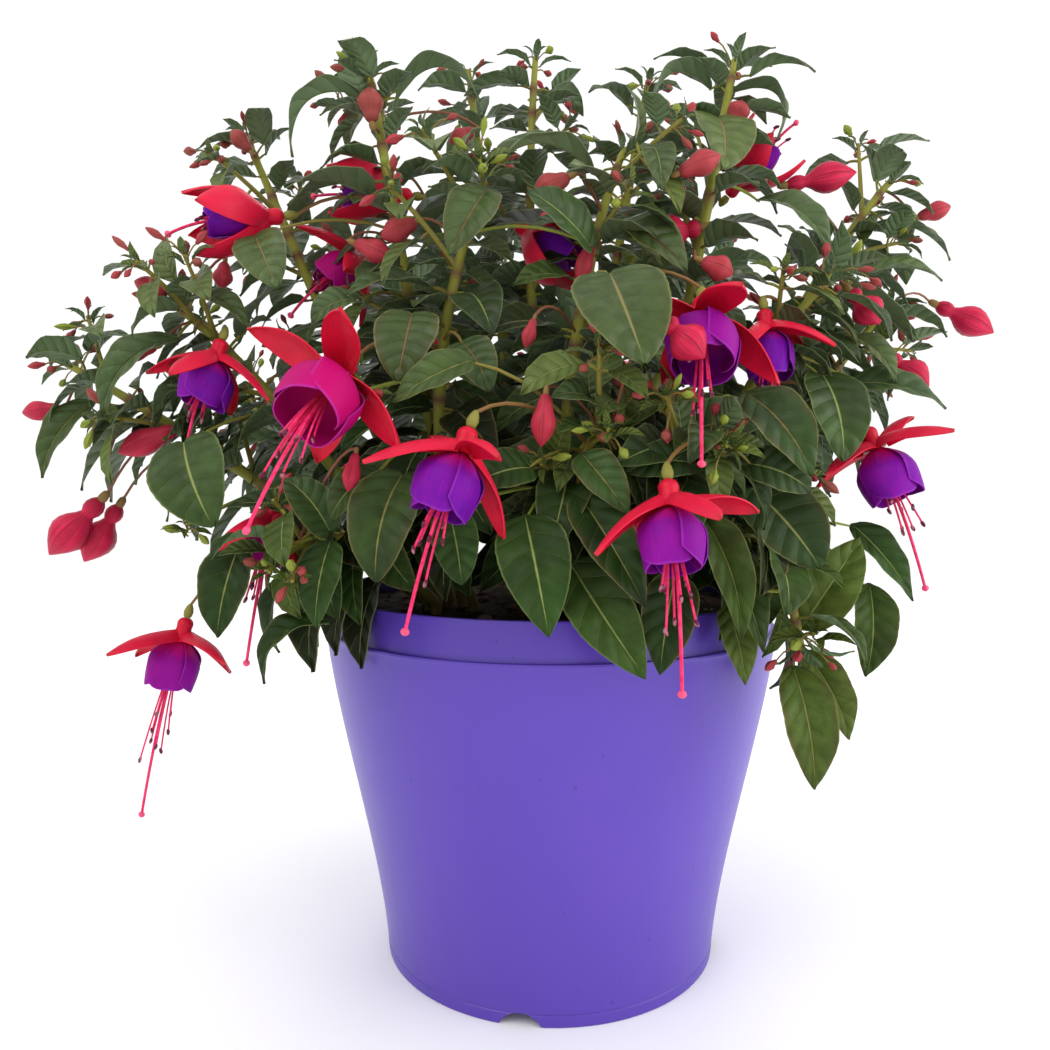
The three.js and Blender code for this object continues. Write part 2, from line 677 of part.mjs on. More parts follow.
// A bloom's skirt: one thin bell, with a step at each edge where a petal laps over the next.
function skirtSolid(root, axis, turn, size, radius) {
  const { length, wall, neck, bellShare, mouth, sides, laps, steps } = skirtShape;
  const top = bloomShape.tube * size + gap;
  const [first, second] = crossAxes(axis, turn);
  const profile = [
    [neck * size, 0],
    [radius, bellShare],
    [mouth * radius, 1],
    [mouth * radius - wall, 1],
    [radius - wall, bellShare],
    [neck * size - wall, 0],
  ];
  const count = profile.length;
  const points = [];
  const faces = [];
  for (let side = 0; side < sides; side++) {
    const angle = radians(90 * Math.floor(side / 2) + laps[side % 2]);
    const out = first.clone().multiplyScalar(Math.cos(angle)).addScaledVector(second, Math.sin(angle));
    const step = steps[side % 2];
    for (const [reach, share] of profile) {
      const height = top + share * length * size * step;
      const spot = root.clone().addScaledVector(axis, height);
      points.push(spot.addScaledVector(out, share ? reach * step : reach));
    }
    const next = ((side + 1) % sides) * count;
    for (let i = 0; i < count; i++) {
      const [a, b] = [side * count + i, side * count + ((i + 1) % count)];
      const [c, d] = [next + i, next + ((i + 1) % count)];
      faces.push(a, b, d, a, d, c);
    }
  }
  return solidFrom(points, faces);
}

const flowers = [];

// Hangs a bloom by its green ovary, which stops just short of the red tube.
function hangBloom(name, root, mouth, opens, turn, size, radius, reach) {
  const axis = mouth.clone().sub(root).normalize();
  const red = redBody(root, axis, radians(turn), opens, size, radius, reach);
  const skirt = skirtSolid(root, axis, radians(turn), size, radius);
  if (!clear(red) || !clear(skirt)) return false;
  keep(red);
  keep(skirt);
  const { length, sides } = ovaryShape;
  const radii = [stalkShape.radius, stalkShape.radius, ...ovaryShape.radii];
  const start = root.clone().addScaledVector(axis, -length * size - gap);
  const done = hang(start, Infinity, (from, room) => {
    const end = root.clone().addScaledVector(axis, -gap - 2 * room);
    const body = [start, start.clone().lerp(end, 0.5), end];
    const grown = radii.map((radius) => radius + room);
    return thread([...stalkPoints(from, start), ...body], grown, sides);
  });
  if (done) flowers.push([name + "_sepals", red, "sepal"], [name + "_corolla", skirt, "corolla"]);
  else taken.length -= 2;
  return done;
}

function leafAtJoint(plant, joint, number, other, [turn, lift, scale]) {
  const place = pointOn(plant, joint);
  const spin = radians(90 * number + 180 * other + pairs.stemTurn * plant.index + turn);
  const [across] = crossAxes(directionOn(plant, joint), spin);
  const height = THREE.MathUtils.clamp((place.z - leafWay.from) / leafWay.over, 0, 1);
  const way = across.clone().multiplyScalar(leafWay.across);
  way.addScaledVector(outwards(place), leafWay.out);
  way.addScaledVector(up, leafWay.down * (height - 1) + lift).normalize();
  const lowest = pairs.joints.at(-1);
  const share = (joint - lowest) / (1 - lowest);
  const length = THREE.MathUtils.lerp(pairs.longest, pairs.shortest, share) * scale;
  const base = place.clone().addScaledVector(across, pairs.stalk).addScaledVector(up, pairs.lift);
  const tip = base.clone().addScaledVector(way, length).addScaledVector(up, -pairs.sag * length);
  const face = facing(base, leafWay.faceLow + leafWay.faceHigh * height);
  return { base, tip, face, bow: pairs.bowShare * length, width: pairs.widthShare * length };
}

for (const plant of plants) {
  const solid = stemSolid(plant);
  plant.solids.push(solid);
  keep(solid, plant.index, plant.index);
}

for (const [name, root, mouth, ...rest] of blooms)
  depthTrials.some((shift) => {
    const ends = [root, mouth].map(([u, v, depth]) => sighted(u, v, depth + shift));
    return hangBloom(name, ...ends, ...rest);
  });

for (const [name, root, mouth, ...rest] of farBlooms)
  depthTrials.some((shift) => {
    const ends = [root, mouth].map(([x, y, z]) => new THREE.Vector3(x, y + shift, z));
    return hangBloom(name, ...ends, ...rest);
  });

for (const [u1, v1, u2, v2, depth, width] of buds)
  depthTrials.some((shift) => {
    const [root, point] = [sighted(u1, v1, depth + shift), sighted(u2, v2, depth + shift)];
    return hangBud(root, point, width);
  });

for (const [u1, v1, u2, v2, near, far, width, bow, rise] of leaves)
  depthTrials.some((shift) => {
    const base = sighted(u1, v1, near + shift);
    const tip = sighted(u2, v2, far + shift);
    const face = facing(base, rise, eyeShare);
    return hangLeaf(largeLeaf, { base, tip, face, bow, width }, leafReach);
  });

pairs.joints.forEach((joint, number) => {
  for (const plant of plants) {
    // The stems at the front carry most of the leaves above, so their lowest joint is bare.
    const near = plant.tip.y < pairs.nearDepth;
    if (near && number >= pairs.nearJoints) continue;
    for (const other of [0, 1])
      pairTrials.some((trial) => {
        const piece = leafAtJoint(plant, joint, number, other, trial);
        return hangLeaf(smallLeaf, piece, pairs.reach);
      });
  }
});

// Pot: an S-curved wall on a notched skirt, with a set-back collar and a drained floor.
function wallAt(share) {
  const curve = new THREE.CubicBezierCurve(
    new THREE.Vector2(pot.footRadius, 0),
    new THREE.Vector2(pot.waistRadius, pot.waistHeight),
    new THREE.Vector2(pot.hipRadius, pot.hipHeight),
    new THREE.Vector2(pot.shoulderRadius, pot.shoulderHeight),
  );
  return curve.getPoint(share);
}

function turned(profile, sides) {
  const geometry = new THREE.LatheGeometry(profile, sides).rotateX(Math.PI / 2);
  const made = manifoldOf(geometry);
  if (made.volume() > 0) return made;
  return manifoldOf(new THREE.LatheGeometry([...profile].reverse(), sides).rotateX(Math.PI / 2));
}

function potSolid() {
  const { wall, floorUnder, footRadius, collarRadius, rimRadius, shoulderHeight, height } = pot;
  const point = (x, y) => new THREE.Vector2(x, y);
  const outer = Array.from({ length: pot.wallSteps + 1 }, (_, i) => wallAt(i / pot.wallSteps));
  const inner = pot.innerShares.map((share) => wallAt(share).sub(point(wall, 0)));
  const profile = [
    point(0, floorUnder),
    point(footRadius - wall, floorUnder),
    point(footRadius - wall, 0),
    ...outer,
    point(collarRadius, shoulderHeight + pot.collarStep),
    point(rimRadius, height),
    point(rimRadius - wall, height),
    point(collarRadius - wall, shoulderHeight),
    ...inner,
    point(footRadius - wall + pot.innerFoot, floorUnder + wall),
    point(0, floorUnder + wall),
  ];
  let solid = turned(profile, pot.sides);
  for (let i = 0; i < notch.count; i++) {
    const cutter = new THREE.CylinderGeometry(notch.radius, notch.radius, notch.reach, notch.sides);
    cutter.translate(0, -footRadius, 0).translate(0, 0, -notch.sunk);
    cutter.rotateZ(radians(notch.turn + (360 / notch.count) * i));
    solid = solid.subtract(manifoldOf(cutter));
  }
  for (let i = 0; i < drain.count; i++) {
    const cutter = new THREE.CylinderGeometry(drain.radius, drain.radius, drain.reach, drain.sides);
    cutter.rotateX(Math.PI / 2).translate(drain.ring, 0, floorUnder + wall / 2);
    cutter.rotateZ(radians((360 / drain.count) * i));
    solid = solid.subtract(manifoldOf(cutter));
  }
  return solid;
}

// Soil: fills the pot to just under its rim, with a plain hole for each stem.
function soilSolid() {
  const fit = Math.cos(Math.PI / pot.sides);
  const bottom = pot.floorUnder + pot.wall + gap;
  const point = (radius, height) => new THREE.Vector2(radius * fit - soil.inset, height);
  const profile = [
    new THREE.Vector2(0, bottom),
    point(pot.footRadius, bottom),
    ...[...pot.innerShares].reverse().map((share) => point(wallAt(share).x, wallAt(share).y)),
    point(pot.collarRadius, pot.shoulderHeight),
    point(pot.collarRadius, soil.edgeHeight),
    new THREE.Vector2(0, soil.height),
  ];
  let solid = turned(profile, soil.sides);
  const { rootRadius, sides, buried, holeGap, holeTop } = stemShape;
  for (const { root } of plants) {
    const foot = new THREE.Vector3(root.x, root.y, soil.height - buried - gap);
    const heights = [0, buried + holeTop];
    const radii = heights.map(() => rootRadius + holeGap);
    const east = new THREE.Vector3(1, 0, 0);
    const north = new THREE.Vector3(0, 1, 0);
    const rings = heights.map((height, i) =>
      ringAt(foot.clone().addScaledVector(up, height), east, north, radii[i], sides),
    );
    solid = solid.subtract(loft(rings));
  }
  return solid;
}

const made = {};
for (const [slot, [color, roughness]] of Object.entries(materials))
  made[slot] = new THREE.MeshStandardMaterial({ color, roughness, metalness: 0 });

function named(name, solid, slot) {
  const mesh = new THREE.Mesh(geometryOf(solid), made[slot]);
  mesh.name = name;
  return mesh;
}

const fuchsia = new THREE.Group();
fuchsia.add(named("pot", potSolid(), "pot"));
fuchsia.add(named("soil", soilSolid(), "soil"));
for (const { name, solids } of plants) fuchsia.add(named(name, wasm.Manifold.union(solids), "stem"));
for (const [name, solid, slot] of flowers) fuchsia.add(named(name, solid, slot));

export default fuchsia;
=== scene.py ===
import math
import random
from types import SimpleNamespace

import bpy
import numpy as np
from mathutils import Matrix, Vector, kdtree, noise


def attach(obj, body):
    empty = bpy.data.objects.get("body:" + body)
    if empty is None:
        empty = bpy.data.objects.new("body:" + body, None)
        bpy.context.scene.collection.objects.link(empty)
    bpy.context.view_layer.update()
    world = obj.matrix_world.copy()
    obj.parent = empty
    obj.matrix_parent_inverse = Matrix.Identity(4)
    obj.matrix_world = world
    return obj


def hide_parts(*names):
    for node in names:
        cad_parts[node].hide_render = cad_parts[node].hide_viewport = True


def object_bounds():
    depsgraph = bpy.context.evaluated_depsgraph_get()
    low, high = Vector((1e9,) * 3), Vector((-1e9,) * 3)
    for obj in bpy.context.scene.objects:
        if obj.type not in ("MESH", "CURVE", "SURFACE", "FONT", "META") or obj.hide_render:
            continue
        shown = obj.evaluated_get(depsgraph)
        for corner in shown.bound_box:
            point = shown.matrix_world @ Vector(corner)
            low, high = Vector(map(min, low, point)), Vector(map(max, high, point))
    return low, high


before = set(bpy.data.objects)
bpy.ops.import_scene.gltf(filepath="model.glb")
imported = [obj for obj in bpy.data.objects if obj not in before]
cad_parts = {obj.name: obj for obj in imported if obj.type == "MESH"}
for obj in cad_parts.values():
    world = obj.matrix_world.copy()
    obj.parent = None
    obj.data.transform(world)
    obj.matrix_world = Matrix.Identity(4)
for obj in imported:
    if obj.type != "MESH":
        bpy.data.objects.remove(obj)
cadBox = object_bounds()
mm = 0.001  # the plant is laid out in millimetres, meshes are in metres
up = Vector((0, 0, 1))
print("frame loaded")

# Camera: eye height and distance follow from the two ellipses of the pot in the picture
eye = {"y": -461, "z": 244, "focal": 880, "centre": 525, "frameWidth": 1050, "down": 3.2, "left": 1.62}

camera = bpy.data.objects.new("camera", bpy.data.cameras.new("camera"))
camera.data.lens = camera.data.sensor_width * eye["focal"] / eye["frameWidth"]
camera.data.clip_start = 0.01
camera.location = (0, eye["y"] * mm, eye["z"] * mm)
camera.rotation_euler = (math.radians(90 - eye["down"]), 0, math.radians(eye["left"]))
bpy.context.scene.collection.objects.link(camera)
bpy.context.scene.camera = camera


def clamp(value):
    return min(max(value, 0), 1)


def onRing(radius, angle):
    return radius * math.cos(angle), radius * math.sin(angle)


# The point at t on a curve from one end to the other, drawn towards a handle
def curved(start, handle, end, t):
    return (1 - t) ** 2 * start + 2 * t * (1 - t) * handle + t * t * end


# Where a reading in the picture lies in space at a given depth
def sighted(across, downwards, depth):
    right = (across - eye["centre"]) / eye["focal"]
    rise = (eye["centre"] - downwards) / eye["focal"]
    pitch = math.radians(eye["down"])
    turn = math.radians(eye["left"])
    ahead = math.cos(pitch) + rise * math.sin(pitch)
    climb = rise * math.cos(pitch) - math.sin(pitch)
    x = right * math.cos(turn) - ahead * math.sin(turn)
    y = ahead * math.cos(turn) + right * math.sin(turn)
    reach = (depth - eye["y"]) / y
    return Vector((x * reach, depth, eye["z"] + climb * reach))


# Stem: root on the soil, a point halfway along, and the tip
stems = {
    "stem_centre": [(4, -36), (11, -74, 300), (33, -60, 389)],
    "stem_centre_left": [(-38, -24), (-49, -70, 278), (-25, -75, 377)],
    "stem_left_tall": [(-45, -14), (-65, -52, 325), (-85, -40, 434)],
    "stem_right_tall": [(42, -12), (66, -48, 335), (86, -35, 438)],
    "stem_top": [(2, 36), (-10, 28, 335), (-8, 20, 466)],
    "stem_top_left": [(-10, 42), (-30, 46, 345), (-46, 42, 470)],
    "stem_left_upper": [(-52, -2), (-112, -10, 318), (-154, -10, 416)],
    "stem_left": [(-58, -10), (-126, -46, 275), (-172, -60, 322)],
    "stem_left_far": [(-62, -20), (-152, -46, 250), (-230, -45, 297)],
    "stem_right": [(52, -24), (88, -52, 278), (126, -60, 333)],
    "stem_right_upper": [(54, -6), (118, -2, 312), (174, 0, 395)],
    "stem_right_far": [(62, -14), (124, 0, 268), (182, 20, 336)],
    "stem_right_low": [(62, -34), (86, -76, 220), (104, -98, 172)],
    "stem_front": [(14, -50), (8, -92, 238), (25, -116, 262)],
    "stem_front_right": [(46, -42), (48, -90, 240), (68, -120, 256)],
    "stem_top_right": [(14, 44), (32, 34, 330), (51, 12, 450)],
    "stem_left_low": [(-56, -30), (-88, -80, 216), (-112, -116, 206)],
    "stem_back_left": [(-14, 56), (-72, 98, 315), (-120, 148, 392)],
    "stem_back_right": [(14, 58), (72, 98, 315), (118, 146, 392)],
    "stem_back": [(0, 66), (2, 128, 285), (4, 176, 330)],
    "stem_back_left_low": [(-56, 8), (-126, 50, 250), (-196, 92, 278)],
    "stem_back_right_low": [(28, 54), (112, 78, 255), (186, 108, 286)],
}

# Bloom: start of the tube and end of the skirt, across, down and depth, then how far each sepal
# opens and the turn in degrees, size, skirt radius, reach of the style, and how pink the skirt is
blooms = {
    "bloom_01": [(283, 216, -62), (207, 222, -74), [33, 18, 14, 18], 10, 1, 7.5, 42, 0],
    "bloom_02": [(412, 196, -22), (352, 192, -30), [26, 18, 22, 16], 20, 1, 7.5, 40, 0],
    "bloom_03": [(222, 340, -78), (198, 408, -84), [62, 52, 66, 54], 10, 0.9, 11, 44, 0],
    "bloom_04": [(350, 365, -122), (304, 418, -152), [70, 100, 84, 55], 60, 1.12, 14.5, 72, 0.9],
    "bloom_05": [(470, 428, -146), (438, 514, -154), [104, 46, 82, 58], 65, 1, 11.5, 60, 0.05],
    "bloom_06": [(276, 500, -92), (263, 562, -96), [46, 58, 40, 52], 30, 0.85, 9.5, 56, 0.5],
    "bloom_07": [(187, 618, -52), (163, 704, -58), [60, 64, 84, 70], 35, 1, 11.5, 73, 0.35],
    "bloom_08": [(702, 300, -108), (702, 378, -134), [58, 76, 88, 48], 68, 1.1, 13.5, 62, 0.3],
    "bloom_09": [(668, 480, -144), (675, 570, -156), [85, 92, 62, 52], 70, 1, 11.5, 60, 0.12],
    "bloom_10": [(866, 428, -62), (905, 518, -74), [85, 112, 75, 76], 55, 1.05, 12.5, 59, 0.1],
    "bloom_11": [(517, 225, -62), (580, 258, -74), [40, 28, 30, 24], 45, 1, 8, 34, 0],
    "bloom_12": [(728, 196, -12), (762, 156, -20), [38, 26, 34, 28], 15, 0.9, 7.5, 40, 0],
    "bloom_13": [(372, 250, -34), (334, 276, -44), [48, 56, 44, 50], 0, 0.9, 9, 44, 0.7],
    "bloom_14": [(764, 310, -62), (770, 368, -68), [66, 86, 58, 52], 40, 0.92, 10, 42, 0],
}

# Blooms of the far side: start of the tube and end of the skirt in space, then as above
farBlooms = {
    "bloom_15": [(-78, 140, 338), (-88, 158, 308), [76, 90, 64, 82], 20, 1, 12, 54, 0.2],
    "bloom_16": [(66, 150, 318), (70, 172, 290), [88, 70, 94, 76], 50, 1, 12.5, 56, 0.6],
    "bloom_17": [(-150, 118, 262), (-160, 132, 232), [62, 80, 70, 88], 10, 1, 12, 54, 0],
    "bloom_18": [(140, 130, 250), (150, 146, 222), [92, 74, 84, 66], 35, 1, 12, 56, 0.3],
}

# Large bud: start and point across and down, depth, width
buds = [
    (101, 500, 49, 555, -40, 19),
    (119, 506, 84, 562, -30, 17),
    (937, 305, 994, 333, 44, 17),
    (787, 185, 857, 172, -22, 15),
    (664, 320, 705, 358, -142, 15),
    (176, 429, 118, 453, -62, 13),
    (60, 408, 22, 413, -44, 10),
    (156, 347, 117, 356, -66, 9),
    (168, 293, 134, 281, -68, 9),
    (372, 122, 369, 87, -62, 12),
    (569, 177, 533, 194, -94, 11),
    (679, 173, 721, 155, -88, 11),
    (733, 123, 743, 101, -52, 11),
    (702, 261, 733, 274, -92, 11),
    (546, 394, 541, 447, -132, 10),
    (534, 319, 525, 348, -118, 6),
    (416, 222, 381, 238, -82, 11),
    (355, 243, 393, 258, -80, 11),
    (356, 453, 348, 492, -132, 7),
    (850, 291, 880, 324, -54, 15),
    (888, 356, 929, 388, -26, 16),
    (918, 217, 951, 206, 2, 10),
    (700, 228, 652, 238, -58, 17),
    (592, 238, 578, 286, -84, 8),
    (250, 151, 231, 130, -22, 9),
    (225, 262, 221, 289, -62, 9),
    (474, 130, 449, 143, -30, 9),
]

# Leaf read off the picture: start and tip of the blade across and down, their depths, width,
# bow, and how far it faces up rather than outwards
leaves = [
    (610, 274, 645, 363, -118, -138, 38, 4, 0.3),
    (412, 314, 397, 381, -112, -128, 27, 4, 0.3),
    (462, 343, 490, 391, -116, -128, 18, 3, 0.35),
    (474, 360, 392, 402, -130, -134, 18, 4, 0.4),
    (489, 188, 449, 255, -96, -112, 22, 4, 0.35),
    (590, 246, 528, 190, -80, -88, 21, 3, 0.5),
    (618, 222, 688, 270, -76, -98, 22, 4, 0.5),
    (717, 117, 724, 168, -54, -80, 31, 3, 0.55),
    (744, 392, 813, 476, -106, -122, 25, 5, 0.35),
    (823, 376, 844, 461, -74, -92, 29, 4, 0.3),
    (849, 384, 947, 408, -44, -46, 20, 5, 0.45),
    (748, 464, 811, 491, -112, -116, 20, 4, 0.4),
    (752, 489, 821, 569, -94, -106, 32, 5, 0.35),
    (698, 512, 743, 639, -118, -136, 17, 6, 0.35),
    (724, 542, 765, 653, -104, -120, 18, 5, 0.35),
    (726, 606, 746, 685, -110, -124, 16, 4, 0.3),
    (676, 572, 660, 675, -116, -130, 23, 4, 0.3),
    (800, 629, 860, 537, -92, -86, 25, 4, 0.4),
    (869, 583, 866, 677, -74, -82, 21, 4, 0.3),
    (851, 524, 914, 601, -68, -76, 20, 4, 0.4),
    (792, 665, 815, 790, -98, -112, 24, 6, 0.3),
    (803, 650, 850, 740, -84, -90, 18, 5, 0.35),
    (525, 515, 549, 637, -130, -152, 29, 5, 0.3),
    (577, 493, 646, 607, -124, -144, 23, 5, 0.35),
    (568, 560, 646, 679, -116, -134, 27, 5, 0.3),
    (402, 476, 375, 582, -126, -146, 28, 5, 0.3),
    (530, 468, 470, 487, -124, -130, 20, 4, 0.4),
    (581, 453, 630, 514, -126, -140, 18, 4, 0.35),
    (690, 463, 625, 471, -118, -124, 18, 4, 0.4),
    (588, 412, 587, 367, -108, -104, 18, 3, 0.4),
    (184, 443, 213, 527, -84, -100, 36, 4, 0.3),
    (242, 540, 217, 638, -90, -100, 22, 5, 0.35),
    (331, 540, 315, 628, -118, -130, 19, 4, 0.3),
    (329, 622, 263, 684, -116, -122, 15, 10, 0.75),
    (94, 401, 41, 478, -48, -56, 19, 5, 0.4),
    (178, 338, 102, 417, -70, -76, 18, 8, 0.5),
    (88, 351, 138, 341, -50, -58, 14, 5, 0.7),
    (189, 301, 249, 326, -76, -80, 15, 6, 0.7),
    (255, 236, 277, 287, -60, -76, 24, 3, 0.4),
    (364, 96, 291, 157, -48, -60, 15, 13, 0.95),
    (396, 98, 481, 101, -46, -52, 16, 14, 0.95),
    (712, 89, 650, 111, -38, -46, 16, 12, 0.95),
    (731, 92, 778, 140, -36, -42, 16, 13, 0.95),
    (594, 173, 481, 181, -76, -96, 17, 13, 0.85),
    (651, 145, 662, 190, -74, -90, 15, 4, 0.4),
    (757, 200, 831, 254, -40, -48, 19, 7, 0.55),
    (884, 222, 951, 260, -2, -8, 16, 5, 0.65),
    (864, 276, 943, 280, -20, -22, 14, 5, 0.7),
    (851, 336, 897, 383, -42, -50, 16, 5, 0.5),
    (450, 515, 462, 585, -112, -122, 20, 4, 0.3),
    (329, 530, 285, 478, -106, -106, 18, 4, 0.45),
    (378, 473, 330, 520, -104, -114, 17, 4, 0.4),
    (360, 300, 311, 322, -84, -92, 15, 4, 0.5),
]

# Crossed pairs at the stems' joints, and the ways in which each may have grown
pairs = {"joints": [0.93, 0.72, 0.5], "longest": 46, "shortest": 27, "widthShare": 0.62, "stalk": 9}
pairTrials = [
    (0, 0, 1),
    (22, 0, 1),
    (-22, 0, 1),
    (44, 0.15, 1),
    (-44, 0.15, 1),
    (10, -0.35, 0.9),
    (-66, 0.1, 0.85),
    (66, 0.1, 0.85),
    (0, 0.45, 0.75),
    (180, 0.3, 0.75),
]
depthTrials = [0, -7, 7, -14, 14, -21, 21, -28, 28, 36, 44]

soilTop = 177
stemStart = soilTop + 3
stretches = 5  # straight ones that make up the frame's stem
crown = {"foot": 200, "height": 220}
spray = {"from": 40, "to": 70, "foot": 195, "top": 245, "youngerAndLit": 0.36}
nearing = {"steps": 40, "first": 6, "above": 0.6, "slack": 12}


def makePlant(index, name):
    ground, half, end = stems[name]
    root = Vector((*ground, stemStart))
    tip = Vector(end)
    handle = 2 * Vector(half) - 0.5 * (root + tip)
    curve = lambda t: curved(root, handle, tip, t)
    path = [curve(i / stretches) for i in range(stretches + 1)]
    return {"name": name, "index": index, "root": root, "tip": tip, "curve": curve, "path": path}


plants = [makePlant(i, name) for i, name in enumerate(stems)]
plantOf = {plant["name"]: plant for plant in plants}


def pointOn(plant, share):
    place = share * stretches
    step = min(int(place), stretches - 1)
    return plant["path"][step].lerp(plant["path"][step + 1], place - step)


def directionOn(plant, share):
    step = min(int(share * stretches), stretches - 1)
    return (plant["path"][step + 1] - plant["path"][step]).normalized()


# The share of a stem from which a point is best reached: near it, and seldom from above
def nearestShare(plant, point):
    best = (math.inf, 0)
    for step in range(nearing["first"], nearing["steps"]):
        share = step / nearing["steps"]
        place = pointOn(plant, share)
        climb = max(0, place.z - point.z - nearing["slack"])
        best = min(best, ((place - point).length + nearing["above"] * climb, share))
    return best[1]


def crossAxes(axis, turn):
    start = up if abs(axis.z) < 0.9 else Vector((0, 1, 0))
    first = Matrix.Rotation(turn, 3, axis) @ start.cross(axis).normalized()
    return first, axis.cross(first)


# A direction across an axis, by quarter and half turns and some degrees more
def sideAt(axis, quarters, halves, more):
    return crossAxes(axis, math.radians(90 * quarters + 180 * halves + more))[0]


def outwards(point):
    return Vector((point.x, point.y, 0)).normalized()


def heightShare(point):
    return clamp((point.z - crown["foot"]) / crown["height"])


# Leaves read off the picture face its eye by a share, besides outwards
eyeShare = 0.65


def facing(point, share, seen=0):
    ahead = Vector((-point.x, eye["y"] - point.y, 0)).normalized()
    level = (outwards(point) * (1 - seen) + ahead * seen).normalized()
    return (level * (1 - share) + up * share).normalized()


def towardsEye(point):
    return (Vector((0, eye["y"], eye["z"])) - point).normalized()


def leafAtJoint(plant, joint, number, other, trial):
    turn, lift, scale = trial
    place = pointOn(plant, joint)
    across = sideAt(directionOn(plant, joint), number, other, 50 * plant["index"] + turn)
    height = heightShare(place)
    way = across * 0.8 + outwards(place) * 0.45 + up * (-0.75 + 0.75 * height + lift)
    lowest = pairs["joints"][-1]
    shrink = (pairs["shortest"] - pairs["longest"]) * (joint - lowest) / (1 - lowest)
    length = scale * (pairs["longest"] + shrink)
    base = place + across * pairs["stalk"] + up * 2
    tip = base + way.normalized() * length - up * 0.12 * length
    leaf = {"base": base, "tip": tip, "face": facing(base, 0.35 + 0.4 * height)}
    return {**leaf, "bow": 0.1 * length, "width": pairs["widthShare"] * length}


# The frame says where each piece settled: its tip is a corner of the stem that carries it
corners = [
    (vertex.co / mm, name)
    for name in [*stems, *(bloom + "_sepals" for bloom in {**blooms, **farBlooms})]
    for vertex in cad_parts[name].data.vertices
]
cornerTree = kdtree.KDTree(len(corners))
for number, (spot, name) in enumerate(corners):
    cornerTree.insert(spot, number)
cornerTree.balance()


def carrierOf(tip, within=0.05):
    spot, number, distance = cornerTree.find(tip)
    return corners[number][1] if distance < within else None


bloomTube = {"length": 10, "sunk": 2}
threadLook = {"count": 8, "shares": [0.64, 0.5, 0.7, 0.55], "radius": 0.42, "style": 0.72}
threadLook.update(spread=0.42, held=22, droop=0.45)


# The point at a share of a thread's reach, which sinks once it has left the skirt
def hangingPoint(start, axis, reach, share):
    beyond = max(0, reach * share - threadLook["held"])
    return start + axis * reach * share - up * threadLook["droop"] * beyond**2 / reach


flowers = []
for name, (root, mouth, *rest) in {**blooms, **farBlooms}.items():
    for shift in depthTrials:
        if name in blooms:
            ends = [sighted(x, y, depth + shift) for x, y, depth in (root, mouth)]
        else:
            ends = [Vector((x, y + shift, z)) for x, y, z in (root, mouth)]
        axis = (ends[1] - ends[0]).normalized()
        start = ends[0] + axis * (bloomTube["length"] * rest[2] - bloomTube["sunk"])
        tip = hangingPoint(start, axis, rest[4], 1)
        if carrierOf(tip) == name + "_sepals":
            flowers.append({"name": name, "root": ends[0], "axis": axis, "values": rest})
            break

hungBuds = []
for u1, v1, u2, v2, depth, width in buds:
    for shift in depthTrials:
        root, point = sighted(u1, v1, depth + shift), sighted(u2, v2, depth + shift)
        if carrierOf(point):
            hungBuds.append({"root": root, "point": point, "width": width, "stem": carrierOf(point)})
            break

# The low sprays on the right of the picture are of a younger green, made lighter still with painted light
# from the right
def youthAndPaintedLight(point):
    aside = clamp((point.x - spray["from"]) / (spray["to"] - spray["from"]))
    return spray["youngerAndLit"] * (aside * clamp((spray["top"] - point.z) / (spray["top"] - spray["foot"])))


hungLeaves = []
for u1, v1, u2, v2, near, far, width, bow, rise in leaves:
    for shift in depthTrials:
        base, tip = sighted(u1, v1, near + shift), sighted(u2, v2, far + shift)
        if carrierOf(tip):
            face = facing(base, rise, eyeShare)
            leaf = {"base": base, "tip": tip, "face": face, "bow": bow, "width": width}
            age = 0.36 + 0.26 * heightShare(base) + youthAndPaintedLight(base)
            hungLeaves.append({**leaf, "stem": carrierOf(tip), "age": age})
            break

for number, joint in enumerate(pairs["joints"]):
    for plant in plants:
        for other in (0, 1):
            for trial in pairTrials:
                leaf = leafAtJoint(plant, joint, number, other, trial)
                if carrierOf(leaf["tip"]) == plant["name"]:
                    age = max(0.3, 1 - joint) + youthAndPaintedLight(leaf["base"])
                    hungLeaves.append({**leaf, "stem": plant["name"], "age": age, "joint": joint})
                    break

print("settled", len(flowers), "blooms", len(hungBuds), "buds", len(hungLeaves), "leaves")


def pick(piece):
    bpy.ops.object.select_all(action="DESELECT")
    piece.select_set(True)
    bpy.context.view_layer.objects.active = piece


# Adds a plain shape to model from
def begin(addShape, **settings):
    bpy.ops.object.select_all(action="DESELECT")
    addShape(**settings)
    return bpy.context.object


# Runs steps of mesh editing, each on the whole mesh
def editMesh(*steps):
    bpy.ops.object.mode_set(mode="EDIT")
    for step, settings in steps:
        bpy.ops.mesh.select_all(action="SELECT")
        step(**settings)
    bpy.ops.object.mode_set(mode="OBJECT")


def meshArrays(piece):
    points = np.array([vertex.co[:] for vertex in piece.data.vertices])
    faces = np.array([face.vertices[:] for face in piece.data.polygons])
    bpy.data.objects.remove(piece)
    return points, faces


# A skin gathers the corners and faces of one piece, with what its materials read at each corner
def newSkin():
    return {"points": [], "faces": [], "place": [], "tint": [], "slots": [], "count": 0}


def addToSkin(skin, points, faces, place, tint, slot):
    skin["points"].append(points)
    skin["faces"].append(faces + skin["count"])
    skin["place"].append(place)
    skin["tint"].append(np.tile(np.array(tint, dtype=float), (len(points), 1)))
    skin["slots"].append(np.full(len(faces), slot))
    skin["count"] += len(points)


